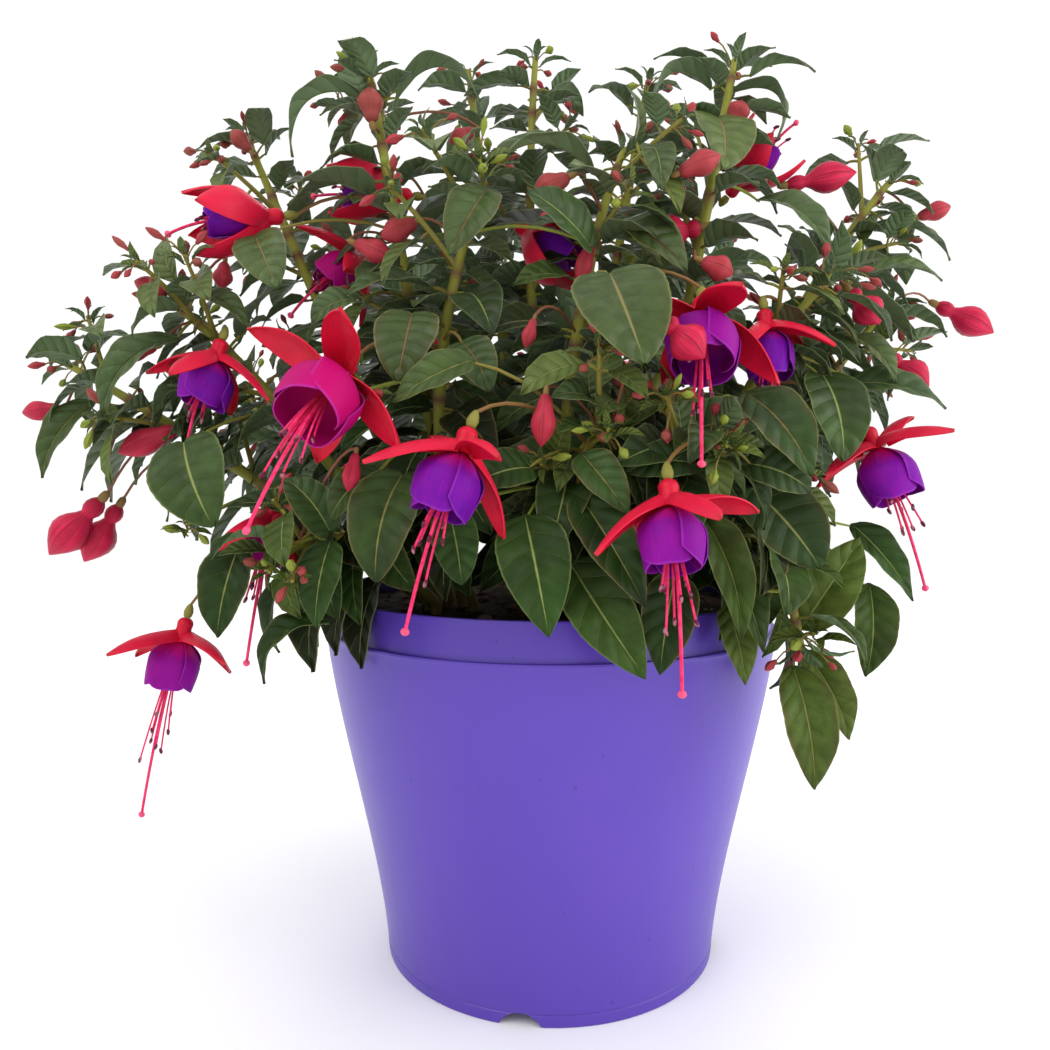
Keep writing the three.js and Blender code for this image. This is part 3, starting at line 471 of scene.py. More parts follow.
def finishSkin(name, skin, materials, smoothAngle=50):
    points = np.concatenate(skin["points"]) * mm
    faces = np.concatenate(skin["faces"])
    mesh = bpy.data.meshes.new(name)
    mesh.vertices.add(len(points))
    mesh.vertices.foreach_set("co", points.ravel())
    mesh.loops.add(faces.size)
    mesh.loops.foreach_set("vertex_index", faces.ravel().astype(np.int32))
    mesh.polygons.add(len(faces))
    mesh.polygons.foreach_set("loop_start", np.arange(0, faces.size, 3, dtype=np.int32))
    mesh.polygons.foreach_set("material_index", np.concatenate(skin["slots"]).astype(np.int32))
    mesh.update(calc_edges=True)
    for key in ("place", "tint"):
        attribute = mesh.attributes.new(key, "FLOAT_VECTOR", "POINT")
        attribute.data.foreach_set("vector", np.concatenate(skin[key]).ravel())
    for material in materials:
        mesh.materials.append(material)
    piece = bpy.data.objects.new(name, mesh)
    bpy.context.scene.collection.objects.link(piece)
    pick(piece)
    bpy.ops.object.shade_smooth_by_angle(angle=math.radians(smoothAngle))
    return piece


# A round skin along a row of points, with a radius at each and closed ends
def tube(centres, radii, sides, wobble=None):
    centres = [Vector(centre) for centre in centres]
    last = len(centres) - 1
    first = crossAxes((centres[1] - centres[0]).normalized(), 0)[0]
    points, place = [], []
    for i, centre in enumerate(centres):
        tangent = (centres[min(i + 1, last)] - centres[max(i - 1, 0)]).normalized()
        first = (first - tangent * first.dot(tangent)).normalized()
        second = tangent.cross(first)
        for side in range(sides):
            angle = 2 * math.pi * side / sides
            radius = radii[i] * (wobble(angle, i / last) if wobble else 1)
            x, y = onRing(radius, angle)
            points.append(centre + first * x + second * y)
            place.append((side / sides, i / last, 0))
    faces = []
    for i in range(last):
        for side in range(sides):
            a, b = i * sides + side, i * sides + (side + 1) % sides
            faces += [(a, b, b + sides), (a, b + sides, a + sides)]
    for end, centre in ((0, centres[0]), (last, centres[last])):
        points.append(centre)
        place.append((0.5, end / last, 0))
        pole = len(points) - 1
        for side in range(sides):
            a, b = end * sides + side, end * sides + (side + 1) % sides
            faces.append((b, a, pole) if end == 0 else (a, b, pole))
    return np.array(points), np.array(faces), np.array(place)


def addTube(skin, centres, radii, sides, tint, slot=1, wobble=None):
    addToSkin(skin, *tube(centres, radii, sides, wobble), tint, slot)


def bentLine(start, handle, end, steps):
    return [curved(start, handle, end, i / steps) for i in range(steps + 1)]


# A blade modelled once from a grid: x across from -1 to 1, y along from 0 to 1, then thickened,
# thinner towards its edges and its tip
def bladeForm(across, along, shape, thick, thin=0.4):
    blank = begin(bpy.ops.mesh.primitive_grid_add, x_subdivisions=across, y_subdivisions=along, size=2)
    grid = [(vertex.co.x, (vertex.co.y + 1) / 2) for vertex in blank.data.vertices]
    for vertex, (x, y) in zip(blank.data.vertices, grid):
        vertex.co = shape(x, y)
    wall = blank.modifiers.new("wall", "SOLIDIFY")
    wall.thickness = thick
    wall.offset = 0
    bpy.ops.object.modifier_apply(modifier=wall.name)
    editMesh((bpy.ops.mesh.quads_convert_to_tris, {}))
    points, faces = meshArrays(blank)
    count = len(grid)
    middle = (points[:count] + points[count:]) / 2
    keep = np.array([[max(thin, (1 - abs(x) ** 3) * (1 - y**5))] for x, y in grid])
    points[:count] = middle + (points[:count] - middle) * keep
    points[count:] = middle + (points[count:] - middle) * keep
    place = np.array([(x, y, 1) for x, y in grid] + [(x, y, 0) for x, y in grid])
    return {"points": points, "faces": faces, "place": place}


# Bends a blade along the rib between its base and its tip
def placeBlade(form, leaf, lean=0, twist=0):
    base, tip, face = leaf["base"], leaf["tip"], leaf["face"]
    length = (tip - base).length
    along = (tip - base).normalized()
    normal = (face - along * face.dot(along)).normalized()
    side = along.cross(normal)
    handle = (base + tip) / 2 + normal * 2 * leaf["bow"]
    x, t, z = form["points"].T[:, :, None]
    rib = curved(np.array(base), np.array(handle), np.array(tip), t)
    tangent = (1 - t) * np.array(handle - base) + t * np.array(tip - handle)
    tangent /= np.linalg.norm(tangent, axis=1, keepdims=True)
    out = np.cross(np.array(side), tangent)
    spread = x * leaf["width"]
    swing = lean * length * (t - t * t)
    across = np.array(side) * (spread * np.cos(twist * t) + swing)
    return rib + across + out * (z * length + spread * np.sin(twist * t))


leafLook = {"fold": 0.12, "veins": 6, "sweep": 0.36, "quilt": 0.016, "teeth": 0.007, "cup": 0.03}
leafLook.update(wave=0.016, plain=(0.6, 0.92), heart=(0.44, 0.72), lobes=0.075, slim=0.92, heartOver=0.6)


def leafHalf(y, base, tip):
    y = min(max(y, 0.004), 0.996)
    widest = base / (base + tip)
    return (y / widest) ** base * ((1 - y) / (1 - widest)) ** tip


def leafShape(along, outline=leafLook["plain"], lobes=0):
    def shape(x, y):
        row = round(y * along)
        broad = leafHalf(y, *outline)
        half = 0.5 * broad * (1 + leafLook["teeth"] * (1 if row % 2 else -1)) + 0.006
        between = abs(math.sin(math.pi * leafLook["veins"] * (y - leafLook["sweep"] * 0.5 * abs(x))))
        inner = 4 * abs(x) * (1 - abs(x)) + 0.25 * abs(x)
        lift = leafLook["fold"] * abs(x) * broad - leafLook["cup"] * x * x
        lift += leafLook["quilt"] * between * inner * broad
        lift += leafLook["wave"] * math.sin(17 * y + (1.3 if x > 0 else 3.1)) * x * x * broad
        return (x * half, y - lobes * abs(x) * (1 - y) ** 4, lift)

    return shape


largeLeaf = bladeForm(8, 24, leafShape(24), 0.013)
heartLeaf = bladeForm(8, 24, leafShape(24, leafLook["heart"], leafLook["lobes"]), 0.013)
middleLeaf = bladeForm(6, 12, leafShape(12), 0.018)
innerLeaf = bladeForm(2, 7, leafShape(7), 0.02)
smallLeaf = bladeForm(2, 4, leafShape(4), 0.026)

sepalLook = {"thick": 1.3, "length": 32, "width": 13.5, "bow": 2.5}
sepalLook.update(cupWidth=16.5, cupBow=5, cupUnder=40)


def sepalHalf(y):
    swell = math.sin(math.pi * (0.2 + 0.8 * y) ** 1.15)
    return max(swell, 0) ** 0.75


def sepalShape(x, y):
    half = 0.5 * sepalHalf(y) + 0.008
    keel = 0.012 * math.exp(-((x / 0.16) ** 2)) * (1 - y)
    return (x * half, y, -0.075 * x * x * (1.5 - y) + keel + 0.05 * max(0, y - 0.7) ** 1.2)


sepalForm = bladeForm(8, 14, sepalShape, sepalLook["thick"] / sepalLook["length"])
print("leaf and sepal modelled")


def colour(hexCode):
    channels = [int(hexCode[i : i + 2], 16) / 255 for i in (0, 2, 4)]
    return (*(c / 12.92 if c <= 0.04045 else ((c + 0.055) / 1.055) ** 2.4 for c in channels), 1)


# Material on a ground colour of its finish, with short ways to add nodes, lay colours and close it
def newMaterial(name, finish, ground):
    material = bpy.data.materials.new(name)
    material.use_nodes = True
    nodes, links = material.node_tree.nodes, material.node_tree.links

    def put(node, inputs):
        for key, value in inputs.items():
            if isinstance(value, bpy.types.NodeSocket):
                links.new(value, node.inputs[key])
            else:
                node.inputs[key].default_value = value
        return node

    def add(kind, inputs=None, **settings):
        node = nodes.new(kind)
        for key, value in settings.items():
            setattr(node, key, value)
        return put(node, inputs or {})

    def maths(operation, a, b=0.5):
        return add("ShaderNodeMath", {0: a, 1: b}, operation=operation).outputs[0]

    def times(a, b):
        return maths("MULTIPLY", a, b)

    def plus(a, b):
        return maths("ADD", a, b)

    def ranged(value, low, high, start=0, end=1):
        inputs = {"Value": value, "From Min": low, "From Max": high, "To Min": start, "To Max": end}
        return add("ShaderNodeMapRange", inputs, clamp=True).outputs[0]

    def split(vector):
        return add("ShaderNodeSeparateXYZ", {0: vector}).outputs

    def read(name):
        return split(add("ShaderNodeAttribute", attribute_name=name).outputs["Vector"])

    where = add("ShaderNodeTexCoord").outputs["Object"]

    def grain(scale, detail=3, roughness=0.55, source=where):
        inputs = {"Vector": source, "Scale": scale, "Detail": detail, "Roughness": roughness}
        return add("ShaderNodeTexNoise", inputs).outputs["Fac"]

    # Grain drawn out along a petal, so many to its width
    def nerves(place, count, scale):
        fan = add("ShaderNodeCombineXYZ", {0: times(place[0], count), 1: place[1]})
        return grain(scale, 2, 0.5, fan.outputs[0])

    def paint(key):
        return colour(finish[key])

    def blend(factor, a, b):
        return add("ShaderNodeMix", {0: factor, 6: a, 7: b}, data_type="RGBA").outputs[2]

    def coat(factor, key):
        kit.body = blend(factor, kit.body, paint(key))

    def close(roughness, specular, height, distance, strength):
        dent = add("ShaderNodeBump", {"Height": height, "Distance": distance, "Strength": strength})
        inputs = {"Base Color": kit.body, "Roughness": roughness, "Specular IOR Level": specular}
        put(nodes["Principled BSDF"], {**inputs, "Normal": dent.outputs["Normal"]})
        return material

    kit = SimpleNamespace(body=paint(ground), where=where, add=add, maths=maths, times=times, plus=plus)
    vars(kit).update(ranged=ranged, split=split, read=read, grain=grain, nerves=nerves, paint=paint)
    vars(kit).update(blend=blend, coat=coat, close=close)
    return kit


leafFinish = {
    "dark": "14250a",
    "green": "2c4a17",
    "pale": "5a7044",
    "olive": "374115",
    "shade": "17160a",
    "young": "66762f",
    "bronze": "54402a",
    "rib": "93a25c",
    "ribRed": "7c4a3c",
    "under": "647a55",
}


# Paler towards the top, partly lighter upper leaves and partly painted sheen from above, and glossier
# there; yellower when young and, low on the right, with painted light; deep inside darkened with painted
# shade; red-ribbed and bronze-edged by chance
def makeLeafMaterial():
    kit = newMaterial("leaf", leafFinish, "dark")
    maths, times, ranged, blend, coat = kit.maths, kit.times, kit.ranged, kit.blend, kit.coat
    place, tint, height = kit.read("place"), kit.read("tint"), kit.split(kit.where)[2]
    mottle, away = kit.grain(170, 4), maths("ABSOLUTE", place[0])
    coat(ranged(kit.grain(28, 2), 0.35, 0.68), "green")
    # painted sheen: the greyish pale is laid on more with height, for the sheen the upper leaves catch from
    # above, besides their lighter colour
    coat(times(ranged(height, 0.2, 0.34, 0.1, 0.75), ranged(tint[0], 0.1, 0.7, 0.3, 1)), "pale")
    coat(ranged(tint[0], 0.9, 0.65, 0.5, 0), "dark")
    coat(ranged(height, 0.35, 0.43, 0, 0.7), "olive")
    # painted shade: leaves with a low age value (single leaves deep inside, leaves low on a stem) are
    # darkened nearly to black
    coat(ranged(tint[1], 0.28, 0.1, 0, 0.85), "shade")
    # the young green also carries painted light on the low right of the plant, through the age value
    coat(ranged(tint[1], 0.45, 1, 0, 0.8), "young")
    coat(times(ranged(away, 0.7, 1), ranged(tint[2], 0.3, 1, 0, 0.6)), "bronze")
    coat(ranged(mottle, 0.42, 0.62, 0, 0.3), "dark")
    coat(ranged(away, 0.93, 0.99, 0, 0.3), "rib")
    along = maths("SUBTRACT", place[1], times(away, leafLook["sweep"] * 0.5))
    quilt = maths("ABSOLUTE", maths("SINE", times(along, math.pi * leafLook["veins"])))
    vein = ranged(quilt, 0.13, 0)
    coat(times(vein, 0.16), "rib")
    rib = times(ranged(away, 0.055, 0.02), ranged(place[1], 1, 0.8))
    redness = times(ranged(tint[2], 0.3, 0.9), ranged(height, 0.2, 0.32, 0.25, 1))
    ribColour = blend(redness, kit.paint("rib"), kit.paint("ribRed"))
    top = blend(times(rib, 0.8), kit.body, ribColour)
    lines = maths("MAXIMUM", times(vein, 0.55), rib)
    under = blend(times(lines, 0.6), kit.paint("under"), kit.paint("rib"))
    kit.body = blend(place[2], under, top)
    dent = kit.plus(maths("SUBTRACT", times(mottle, 0.4), lines), times(quilt, 1.1))
    sheen = ranged(height, 0.2, 0.42, 0.12, 0.42)
    return kit.close(ranged(mottle, 0.3, 0.7, 0.36, 0.52), sheen, dent, 0.0005, 0.85)


stemFinish = {"wood": "6a5c30", "green": "8a8c34", "fresh": "86963a", "joint": "6a4034", "blush": "80463a"}


def makeStemMaterial():
    kit = newMaterial("stem", stemFinish, "wood")
    ranged, coat, place, tint = kit.ranged, kit.coat, kit.read("place"), kit.read("tint")
    streak = kit.grain(260)
    coat(ranged(place[1], 0, 0.2), "green")
    coat(ranged(tint[0], 0, 1), "fresh")
    coat(ranged(tint[1], 0, 1, 0, 0.9), "blush")
    coat(place[2], "joint")
    coat(ranged(streak, 0.58, 0.85, 0, 0.25), "joint")
    return kit.close(ranged(streak, 0.3, 0.7, 0.42, 0.6), 0.25, streak, 0.0004, 0.4)


budFinish = {"rose": "d2264e", "red": "be1e42", "deep": "84142e", "brown": "8a4c40", "green": "828e38"}


def makeBudMaterial():
    kit = newMaterial("bud", budFinish, "red")
    times, ranged, coat = kit.times, kit.ranged, kit.coat
    place, tint, cloud = kit.read("place"), kit.read("tint"), kit.grain(120)
    seam = kit.maths("ABSOLUTE", kit.maths("SINE", times(place[0], 4 * math.pi)))
    coat(ranged(cloud, 0.35, 0.65), "rose")
    coat(ranged(place[1], 0.34, 0.1, 0, 0.35), "deep")
    coat(ranged(kit.nerves(place, 16, 2.4), 0.42, 0.62, 0, 0.5), "deep")
    coat(times(ranged(seam, 0.2, 0), ranged(place[1], 0.3, 0.5, 0, 0.85)), "deep")
    coat(ranged(tint[0], 0, 1), "brown")
    coat(ranged(tint[1], 0, 1), "green")
    dent = kit.plus(ranged(seam, 0, 0.2), times(cloud, 0.4))
    return kit.close(ranged(cloud, 0.3, 0.7, 0.34, 0.48), 0.12, dent, 0.0004, 0.5)


sepalFinish = {"red": "dc1436", "deep": "c01030", "pink": "e8244c", "tip": "b83a34"}


def makeSepalMaterial():
    kit = newMaterial("sepal", sepalFinish, "deep")
    times, ranged, coat, place, cloud = kit.times, kit.ranged, kit.coat, kit.read("place"), kit.grain(90)
    nerves = kit.nerves(place, 7, 2.4)
    coat(ranged(cloud, 0.35, 0.7), "red")
    coat(ranged(nerves, 0.42, 0.62, 0, 0.4), "deep")
    coat(times(place[2], 0.35), "pink")
    coat(ranged(place[1], 0.9, 1, 0, 0.5), "tip")
    dent = kit.plus(nerves, times(cloud, 0.5))
    return kit.close(ranged(nerves, 0.3, 0.7, 0.33, 0.46), 0.2, dent, 0.0003, 0.5)


corollaFinish = {
    "violet": "74129e",
    "dark": "560c90",
    "vein": "8e1696",
    "magenta": "b80a62",
    "rose": "c8125c",
    "rim": "a844c0",
}


def makeCorollaMaterial():
    kit = newMaterial("corolla", corollaFinish, "dark")
    maths, ranged, coat, place = kit.maths, kit.ranged, kit.coat, kit.read("place")
    veins = kit.nerves(place, 9, 2.6)
    coat(ranged(kit.grain(80), 0.35, 0.7), "violet")
    coat(ranged(veins, 0.45, 0.62, 0, 0.35), "vein")
    coat(kit.read("tint")[0], "magenta")
    coat(ranged(place[1], 0.36, 0.05, 0, 0.8), "rose")
    rim = maths("MAXIMUM", ranged(maths("ABSOLUTE", place[0]), 0.93, 0.99), ranged(place[1], 0.96, 0.995))
    coat(kit.times(rim, 0.3), "rim")
    return kit.close(ranged(veins, 0.3, 0.7, 0.48, 0.6), 0.08, veins, 0.0003, 0.2)


threadFinish = {"pink": "d81a54", "light": "ea3c74", "anther": "5a1230", "dust": "a8687a"}
threadFinish["stigma"] = "ea5078"


# Filaments and style, then the anthers and the stigma, told apart by the tint
def makeThreadMaterial():
    kit = newMaterial("thread", threadFinish, "pink")
    ranged, tint, cloud = kit.ranged, kit.read("tint"), kit.grain(420, 2)
    kit.coat(ranged(cloud, 0.35, 0.65), "light")
    anther = kit.blend(ranged(cloud, 0.5, 0.62), kit.paint("anther"), kit.paint("dust"))
    kit.body = kit.blend(tint[0], kit.body, anther)
    kit.coat(tint[1], "stigma")
    return kit.close(ranged(cloud, 0.3, 0.7, 0.35, 0.5), 0.2, cloud, 0.0002, 0.4)


potFinish = {"violet": "593bae", "deep": "5136a7", "foot": "4a2e9a", "speck": "3c2a78", "scuff": "6548b6"}
potFinish["dirt"] = "1c130e"


# Plain violet with faint streaks and specks, darker towards the foot as painted shade, and painted shade in
# soil-brown on the wall inside above the soil
def makePotMaterial():
    kit = newMaterial("pot", potFinish, "deep")
    times, plus, ranged, coat = kit.times, kit.plus, kit.ranged, kit.coat
    x, y, height = kit.split(kit.where)
    radius = kit.maths("SQRT", plus(times(x, x), times(y, y)))
    broad, fine = kit.grain(7), kit.grain(900, 2)
    stretch = kit.add("ShaderNodeMapping", {"Vector": kit.where, "Scale": (260, 260, 26)})
    streaks = kit.grain(1, 3, 0.6, stretch.outputs[0])
    coat(ranged(broad, 0.3, 0.7), "violet")
    coat(ranged(streaks, 0.66, 0.8, 0, 0.25), "scuff")
    # painted shade: the wall is darkened towards the foot
    coat(ranged(height, 0.09, 0, 0, 0.7), "foot")
    coat(ranged(kit.grain(240, 1, 0.3), 0.77, 0.8, 0, 0.7), "speck")
    # painted shade: the inside wall above the soil is darkened soil-brown where it lies in shadow
    inside = times(ranged(radius, 0.1108, 0.1106), ranged(height, 0.17, 0.171))
    coat(times(inside, ranged(kit.grain(90), 0.3, 0.6, 0.5, 1)), "dirt")
    rough = ranged(plus(broad, times(streaks, 0.5)), 0.4, 1.1, 0.3, 0.42)
    return kit.close(rough, 0.5, plus(fine, times(streaks, 0.6)), 0.00012, 0.35)


# The soil colours are darker than the soil itself: the real dark peat, plus painted shade from the leaves
# above
soilFinish = {"dark": "140d08", "brown": "2c1c11", "bark": "50351f", "grit": "7c6c5a"}


def makeSoilMaterial():
    kit = newMaterial("soil", soilFinish, "dark")
    ranged, coat, tint, crumbs = kit.ranged, kit.coat, kit.read("tint"), kit.grain(420, 5, 0.7)
    coat(ranged(crumbs, 0.35, 0.7), "brown")
    coat(ranged(kit.grain(60), 0.5, 0.8, 0, 0.5), "bark")
    coat(tint[0], "bark")
    coat(tint[1], "grit")
    return kit.close(ranged(crumbs, 0.2, 0.8, 0.8, 1), 0.1, crumbs, 0.0012, 0.8)


leafMaterial = makeLeafMaterial()
stemMaterial = makeStemMaterial()
budMaterial = makeBudMaterial()
sepalMaterial = makeSepalMaterial()
corollaMaterial = makeCorollaMaterial()
threadMaterial = makeThreadMaterial()
potMaterial = makePotMaterial()
soilMaterial = makeSoilMaterial()
print("materials made")

# Pot: the frame's S-curve from foot to shoulder, with a bead, a set-back collar and a foot line
potLook = {
    "foot": (85, 0),
    "waist": (87.5, 50),
    "hip": (111.5, 125),
    "shoulder": (115, 169),
    "collar": 112.4,
    "rim": 112.8,
    "height": 186,
    "wall": 2,
    "floorUnder": 7,
    "turns": 144,
    "wallSteps": 30,
    "footLine": 6,
}
notchLook = {"count": 4, "radius": 10.5, "sides": 48, "depth": 24, "sunk": 4, "turn": -8.8}
drainLook = {"count": 5, "radius": 4.5, "sides": 24, "depth": 8, "ring": 55}


def wallAt(t):
    a, b, c, d = [Vector((*potLook[key], 0)) for key in ("foot", "waist", "hip", "shoulder")]
    spot = (1 - t) ** 3 * a + 3 * t * (1 - t) ** 2 * b + 3 * t * t * (1 - t) * c + t**3 * d
    return spot.x, spot.y


# Cuts a round notch or hole out of a piece
def cutRound(piece, look, spot, rotation):
    bpy.ops.mesh.primitive_cylinder_add(
        vertices=look["sides"],
        radius=look["radius"] * mm,
        depth=look["depth"] * mm,
        location=[value * mm for value in spot],
        rotation=rotation,
    )
    cutter = bpy.context.object
    cut = piece.modifiers.new("cut", "BOOLEAN")
    cut.operation = "DIFFERENCE"
    cut.solver = "EXACT"
    cut.object = cutter
    pick(piece)
    bpy.ops.object.modifier_apply(modifier=cut.name)
    bpy.data.objects.remove(cutter)


def makePot():
    wall, height, collar, rim = (potLook[key] for key in ("wall", "height", "collar", "rim"))
    footRadius = potLook["foot"][0]
    shoulderRadius, shoulderHeight = potLook["shoulder"]
    floorUnder, line, steps = (potLook[key] for key in ("floorUnder", "footLine", "wallSteps"))
    outer = [wallAt(i / steps) for i in range(1, steps)]
    outer = [(r, z) for r, z in outer if line + 2 < z < shoulderHeight - 3]
    inner = [(r - wall, z) for r, z in reversed(outer) if z > floorUnder + wall + 3]
    lineRadius = wallAt(0.04)[0]
    profile = [
        (0, floorUnder),
        (footRadius - wall, floorUnder),
        (footRadius - wall, 0.3),
        (footRadius - wall + 0.3, 0),
        (footRadius - 0.5, 0),
        (footRadius, 0.5),
        (lineRadius, line - 0.4),
        (lineRadius - 0.35, line),
        (lineRadius, line + 0.4),
        *outer,
        (shoulderRadius - 0.25, shoulderHeight - 2),
        (shoulderRadius + 0.15, shoulderHeight - 1.2),
        (shoulderRadius, shoulderHeight - 0.3),
        (shoulderRadius - 0.5, shoulderHeight),
        (collar + 0.25, shoulderHeight - 0.1),
        (collar, shoulderHeight + 0.5),
        (rim, height - 0.9),
        (rim - 0.3, height - 0.25),
        (rim - 0.9, height),
        (rim - wall + 0.5, height),
        (rim - wall, height - 0.6),
        (collar - wall, shoulderHeight),
        *inner,
        (footRadius - wall + 0.6, floorUnder + wall + 1),
        (footRadius - wall - 1, floorUnder + wall),
        (0, floorUnder + wall),
    ]
    piece = begin(bpy.ops.mesh.primitive_plane_add, size=1)
    piece.name = "finishedPot"
    editMesh((bpy.ops.mesh.delete, {"type": "VERT"}))
    edges = [(i, i + 1) for i in range(len(profile) - 1)]
    piece.data.from_pydata([(r * mm, 0, z * mm) for r, z in profile], edges, [])
    spin = {"steps": potLook["turns"], "angle": 2 * math.pi, "center": (0, 0, 0), "axis": (0, 0, 1)}
    editMesh(
        (bpy.ops.mesh.spin, spin),
        (bpy.ops.mesh.remove_doubles, {"threshold": 0.00001}),
        (bpy.ops.mesh.normals_make_consistent, {"inside": False}),
    )
    for i in range(notchLook["count"]):
        turn = math.radians(notchLook["turn"] - 90 + 360 / notchLook["count"] * i)
        spot = (*onRing(footRadius, turn), -notchLook["sunk"])
        cutRound(piece, notchLook, spot, (0, math.pi / 2, turn))
    for i in range(drainLook["count"]):
        spot = (*onRing(drainLook["ring"], 2 * math.pi * i / drainLook["count"]), floorUnder + 1)
        cutRound(piece, drainLook, spot, (0, 0, 0))
    piece.data.materials.clear()
    piece.data.materials.append(potMaterial)
    bpy.ops.object.shade_smooth_by_angle(angle=math.radians(35))
    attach(piece, "root")
    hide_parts("pot")


makePot()
print("pot made")

# Soil: a crumbly bed just under the rim, with bark and grit lying on it
soilLook = {"radius": 109.6, "edge": 176, "rings": 46, "sides": 120, "rough": 1.7, "crumb": 9}
soilLook.update(side=160, clear=3, foot=(81, 9.5))
barkLook = {"count": 330, "longest": 9, "shortest": 2.5, "spread": 106, "gritty": 0.12, "seed": 11}


def soilHeight(x, y):
    share = math.hypot(x, y) / soilLook["radius"]
    level = soilTop + (soilLook["edge"] - soilTop) * share**2
    spot = Vector((x / soilLook["crumb"], y / soilLook["crumb"], 0))
    return level + soilLook["rough"] * (noise.fractal(spot, 1, 2, 4) - 0.2)


def makeSoil():
    rings, sides, radius = soilLook["rings"], soilLook["sides"], soilLook["radius"]
    turns = [2 * math.pi * side / sides for side in range(sides)]
    points = [(0, 0, soilHeight(0, 0))]
    for ring in range(1, rings + 1):
        spots = [onRing(radius * ring / rings, turn) for turn in turns]
        points += [(x, y, soilHeight(x, y)) for x, y in spots]
    middle, level = wallAt(0.5)
    below = [(radius, soilLook["side"]), (middle - soilLook["clear"], level), soilLook["foot"]]
    for reach, level in below:
        points += [(*onRing(reach, turn), level) for turn in turns]
    faces = [(0, 1 + side, 1 + (side + 1) % sides) for side in range(sides)]
    for ring in range(rings + len(below) - 1):
        for side in range(sides):
            a, b = 1 + ring * sides + side, 1 + ring * sides + (side + 1) % sides
            faces += [(a, a + sides, b + sides), (a, b + sides, b)]
    points.append((0, 0, soilLook["foot"][1]))
    last = 1 + (rings + len(below) - 1) * sides
    faces += [(last + (side + 1) % sides, last + side, len(points) - 1) for side in range(sides)]
    skin = newSkin()
    addToSkin(skin, np.array(points), np.array(faces), np.zeros((len(points), 3)), (0, 0, 0), 0)
    rng = random.Random(barkLook["seed"])
    chip, chipFaces = meshArrays(begin(bpy.ops.mesh.primitive_ico_sphere_add, subdivisions=1, radius=1))
    for _ in range(barkLook["count"]):
        reach, angle = barkLook["spread"] * math.sqrt(rng.random()), rng.uniform(0, 2 * math.pi)
        x, y = onRing(reach, angle)
        long = rng.uniform(barkLook["shortest"], barkLook["longest"]) * rng.random() ** 0.7 + 1
        scale = np.array([long, long * rng.uniform(0.35, 0.8), long * rng.uniform(0.15, 0.35)]) / 2
        jitter = np.array([[rng.uniform(0.7, 1.2) for _ in range(3)] for _ in chip])
        turn, lean = rng.uniform(0, 6.28), rng.uniform(-0.5, 0.5)
        tilt = Matrix.Rotation(turn, 3, "Z") @ Matrix.Rotation(lean, 3, "X")
        shaped = (chip * jitter * scale) @ np.array(tilt).T
        gritty = 1 if rng.random() < barkLook["gritty"] else 0
        tint = (rng.uniform(0.2, 0.9) * (1 - gritty), gritty * 0.7, 0)
        spot = np.array([x, y, soilHeight(x, y) + scale[2] * 0.5])
        addToSkin(skin, shaped + spot, chipFaces, np.zeros((len(chip), 3)), tint, 0)
    piece = finishSkin("pottingSoil", skin, [soilMaterial], 40)
    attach(piece, "root")
    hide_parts("soil")


makeSoil()
print("soil made")

# Stems, leaves and buds: what the frame holds, then the finer growth between
stemLook = {"rootRadius": 2.8, "tipRadius": 1.5, "swell": 0.5, "buried": 24, "steps": 60, "sides": 10}
stemLook.update(jointSwell=0.5, jointReach=0.011)
stalkLook = {"leaf": 0.72, "flower": 0.62, "tiny": 0.4, "steps": 7, "sides": 6, "rise": 0.14}
stalkLook.update(leafRise=0.2, leafShare=0.045, leafReach=1.5, fineUnder=16)
budLook = {"sides": 16, "seam": 0.07, "ovary": 5.5 / 17, "large": 13, "brownUnder": 14}
budLook["shares"] = [0, 0.05, 0.12, 0.19, 0.26, 0.33, 0.41, 0.5, 0.6, 0.71, 0.82, 0.91, 0.97]
budLook["widths"] = [0.24, 0.4, 0.5, 0.48, 0.35, 0.5, 0.76, 0.94, 1, 0.89, 0.63, 0.34, 0.13]
budLook["young"] = [0.26, 0.42, 0.54, 0.6, 0.64, 0.74, 0.87, 0.97, 1, 0.88, 0.64, 0.38, 0.16]
tinyBud = {"shares": [0, 0.2, 0.45, 0.7, 0.9], "widths": [0.4, 0.6, 1, 0.85, 0.4]}
ovaryLook = {"length": 6.5, "shares": [0, 0.25, 0.6, 0.9, 1], "radii": [0.8, 1.7, 2.3, 1.9, 1.4]}


def addStem(skin, plant, joints):
    steps = stemLook["steps"]
    foot = plant["root"] - up * (stemLook["buried"] + 3)
    centres = [foot] + [plant["curve"](i / steps) for i in range(steps + 1)]
    shares = [0] + [i / steps for i in range(steps + 1)]
    radii, masks = [], []
    for share in shares:
        near = max([math.exp(-(((share - joint) / stemLook["jointReach"]) ** 2)) for joint in joints] + [0])
        thin = stemLook["rootRadius"] + (stemLook["tipRadius"] - stemLook["rootRadius"]) * share
        radii.append(thin + stemLook["swell"] * math.sin(math.pi * share) + stemLook["jointSwell"] * near)
        masks.append(near)
    sides = stemLook["sides"]
    points, faces, place = tube(centres, radii, sides)
    for i, (share, mask) in enumerate(zip(shares, masks)):
        place[i * sides : (i + 1) * sides, 1:] = share, mask
    addToSkin(skin, points, faces, place, (0, 0, 0), 1)


def addStalk(skin, start, end, radius, tint, steps=stalkLook["steps"], sides=stalkLook["sides"]):
    middle = start.lerp(end, 0.55) + up * (end - start).length * stalkLook["rise"]
    line = bentLine(start, 2 * middle - (start + end) / 2, end, steps)
    addTube(skin, line, [radius] * len(line), sides, tint)


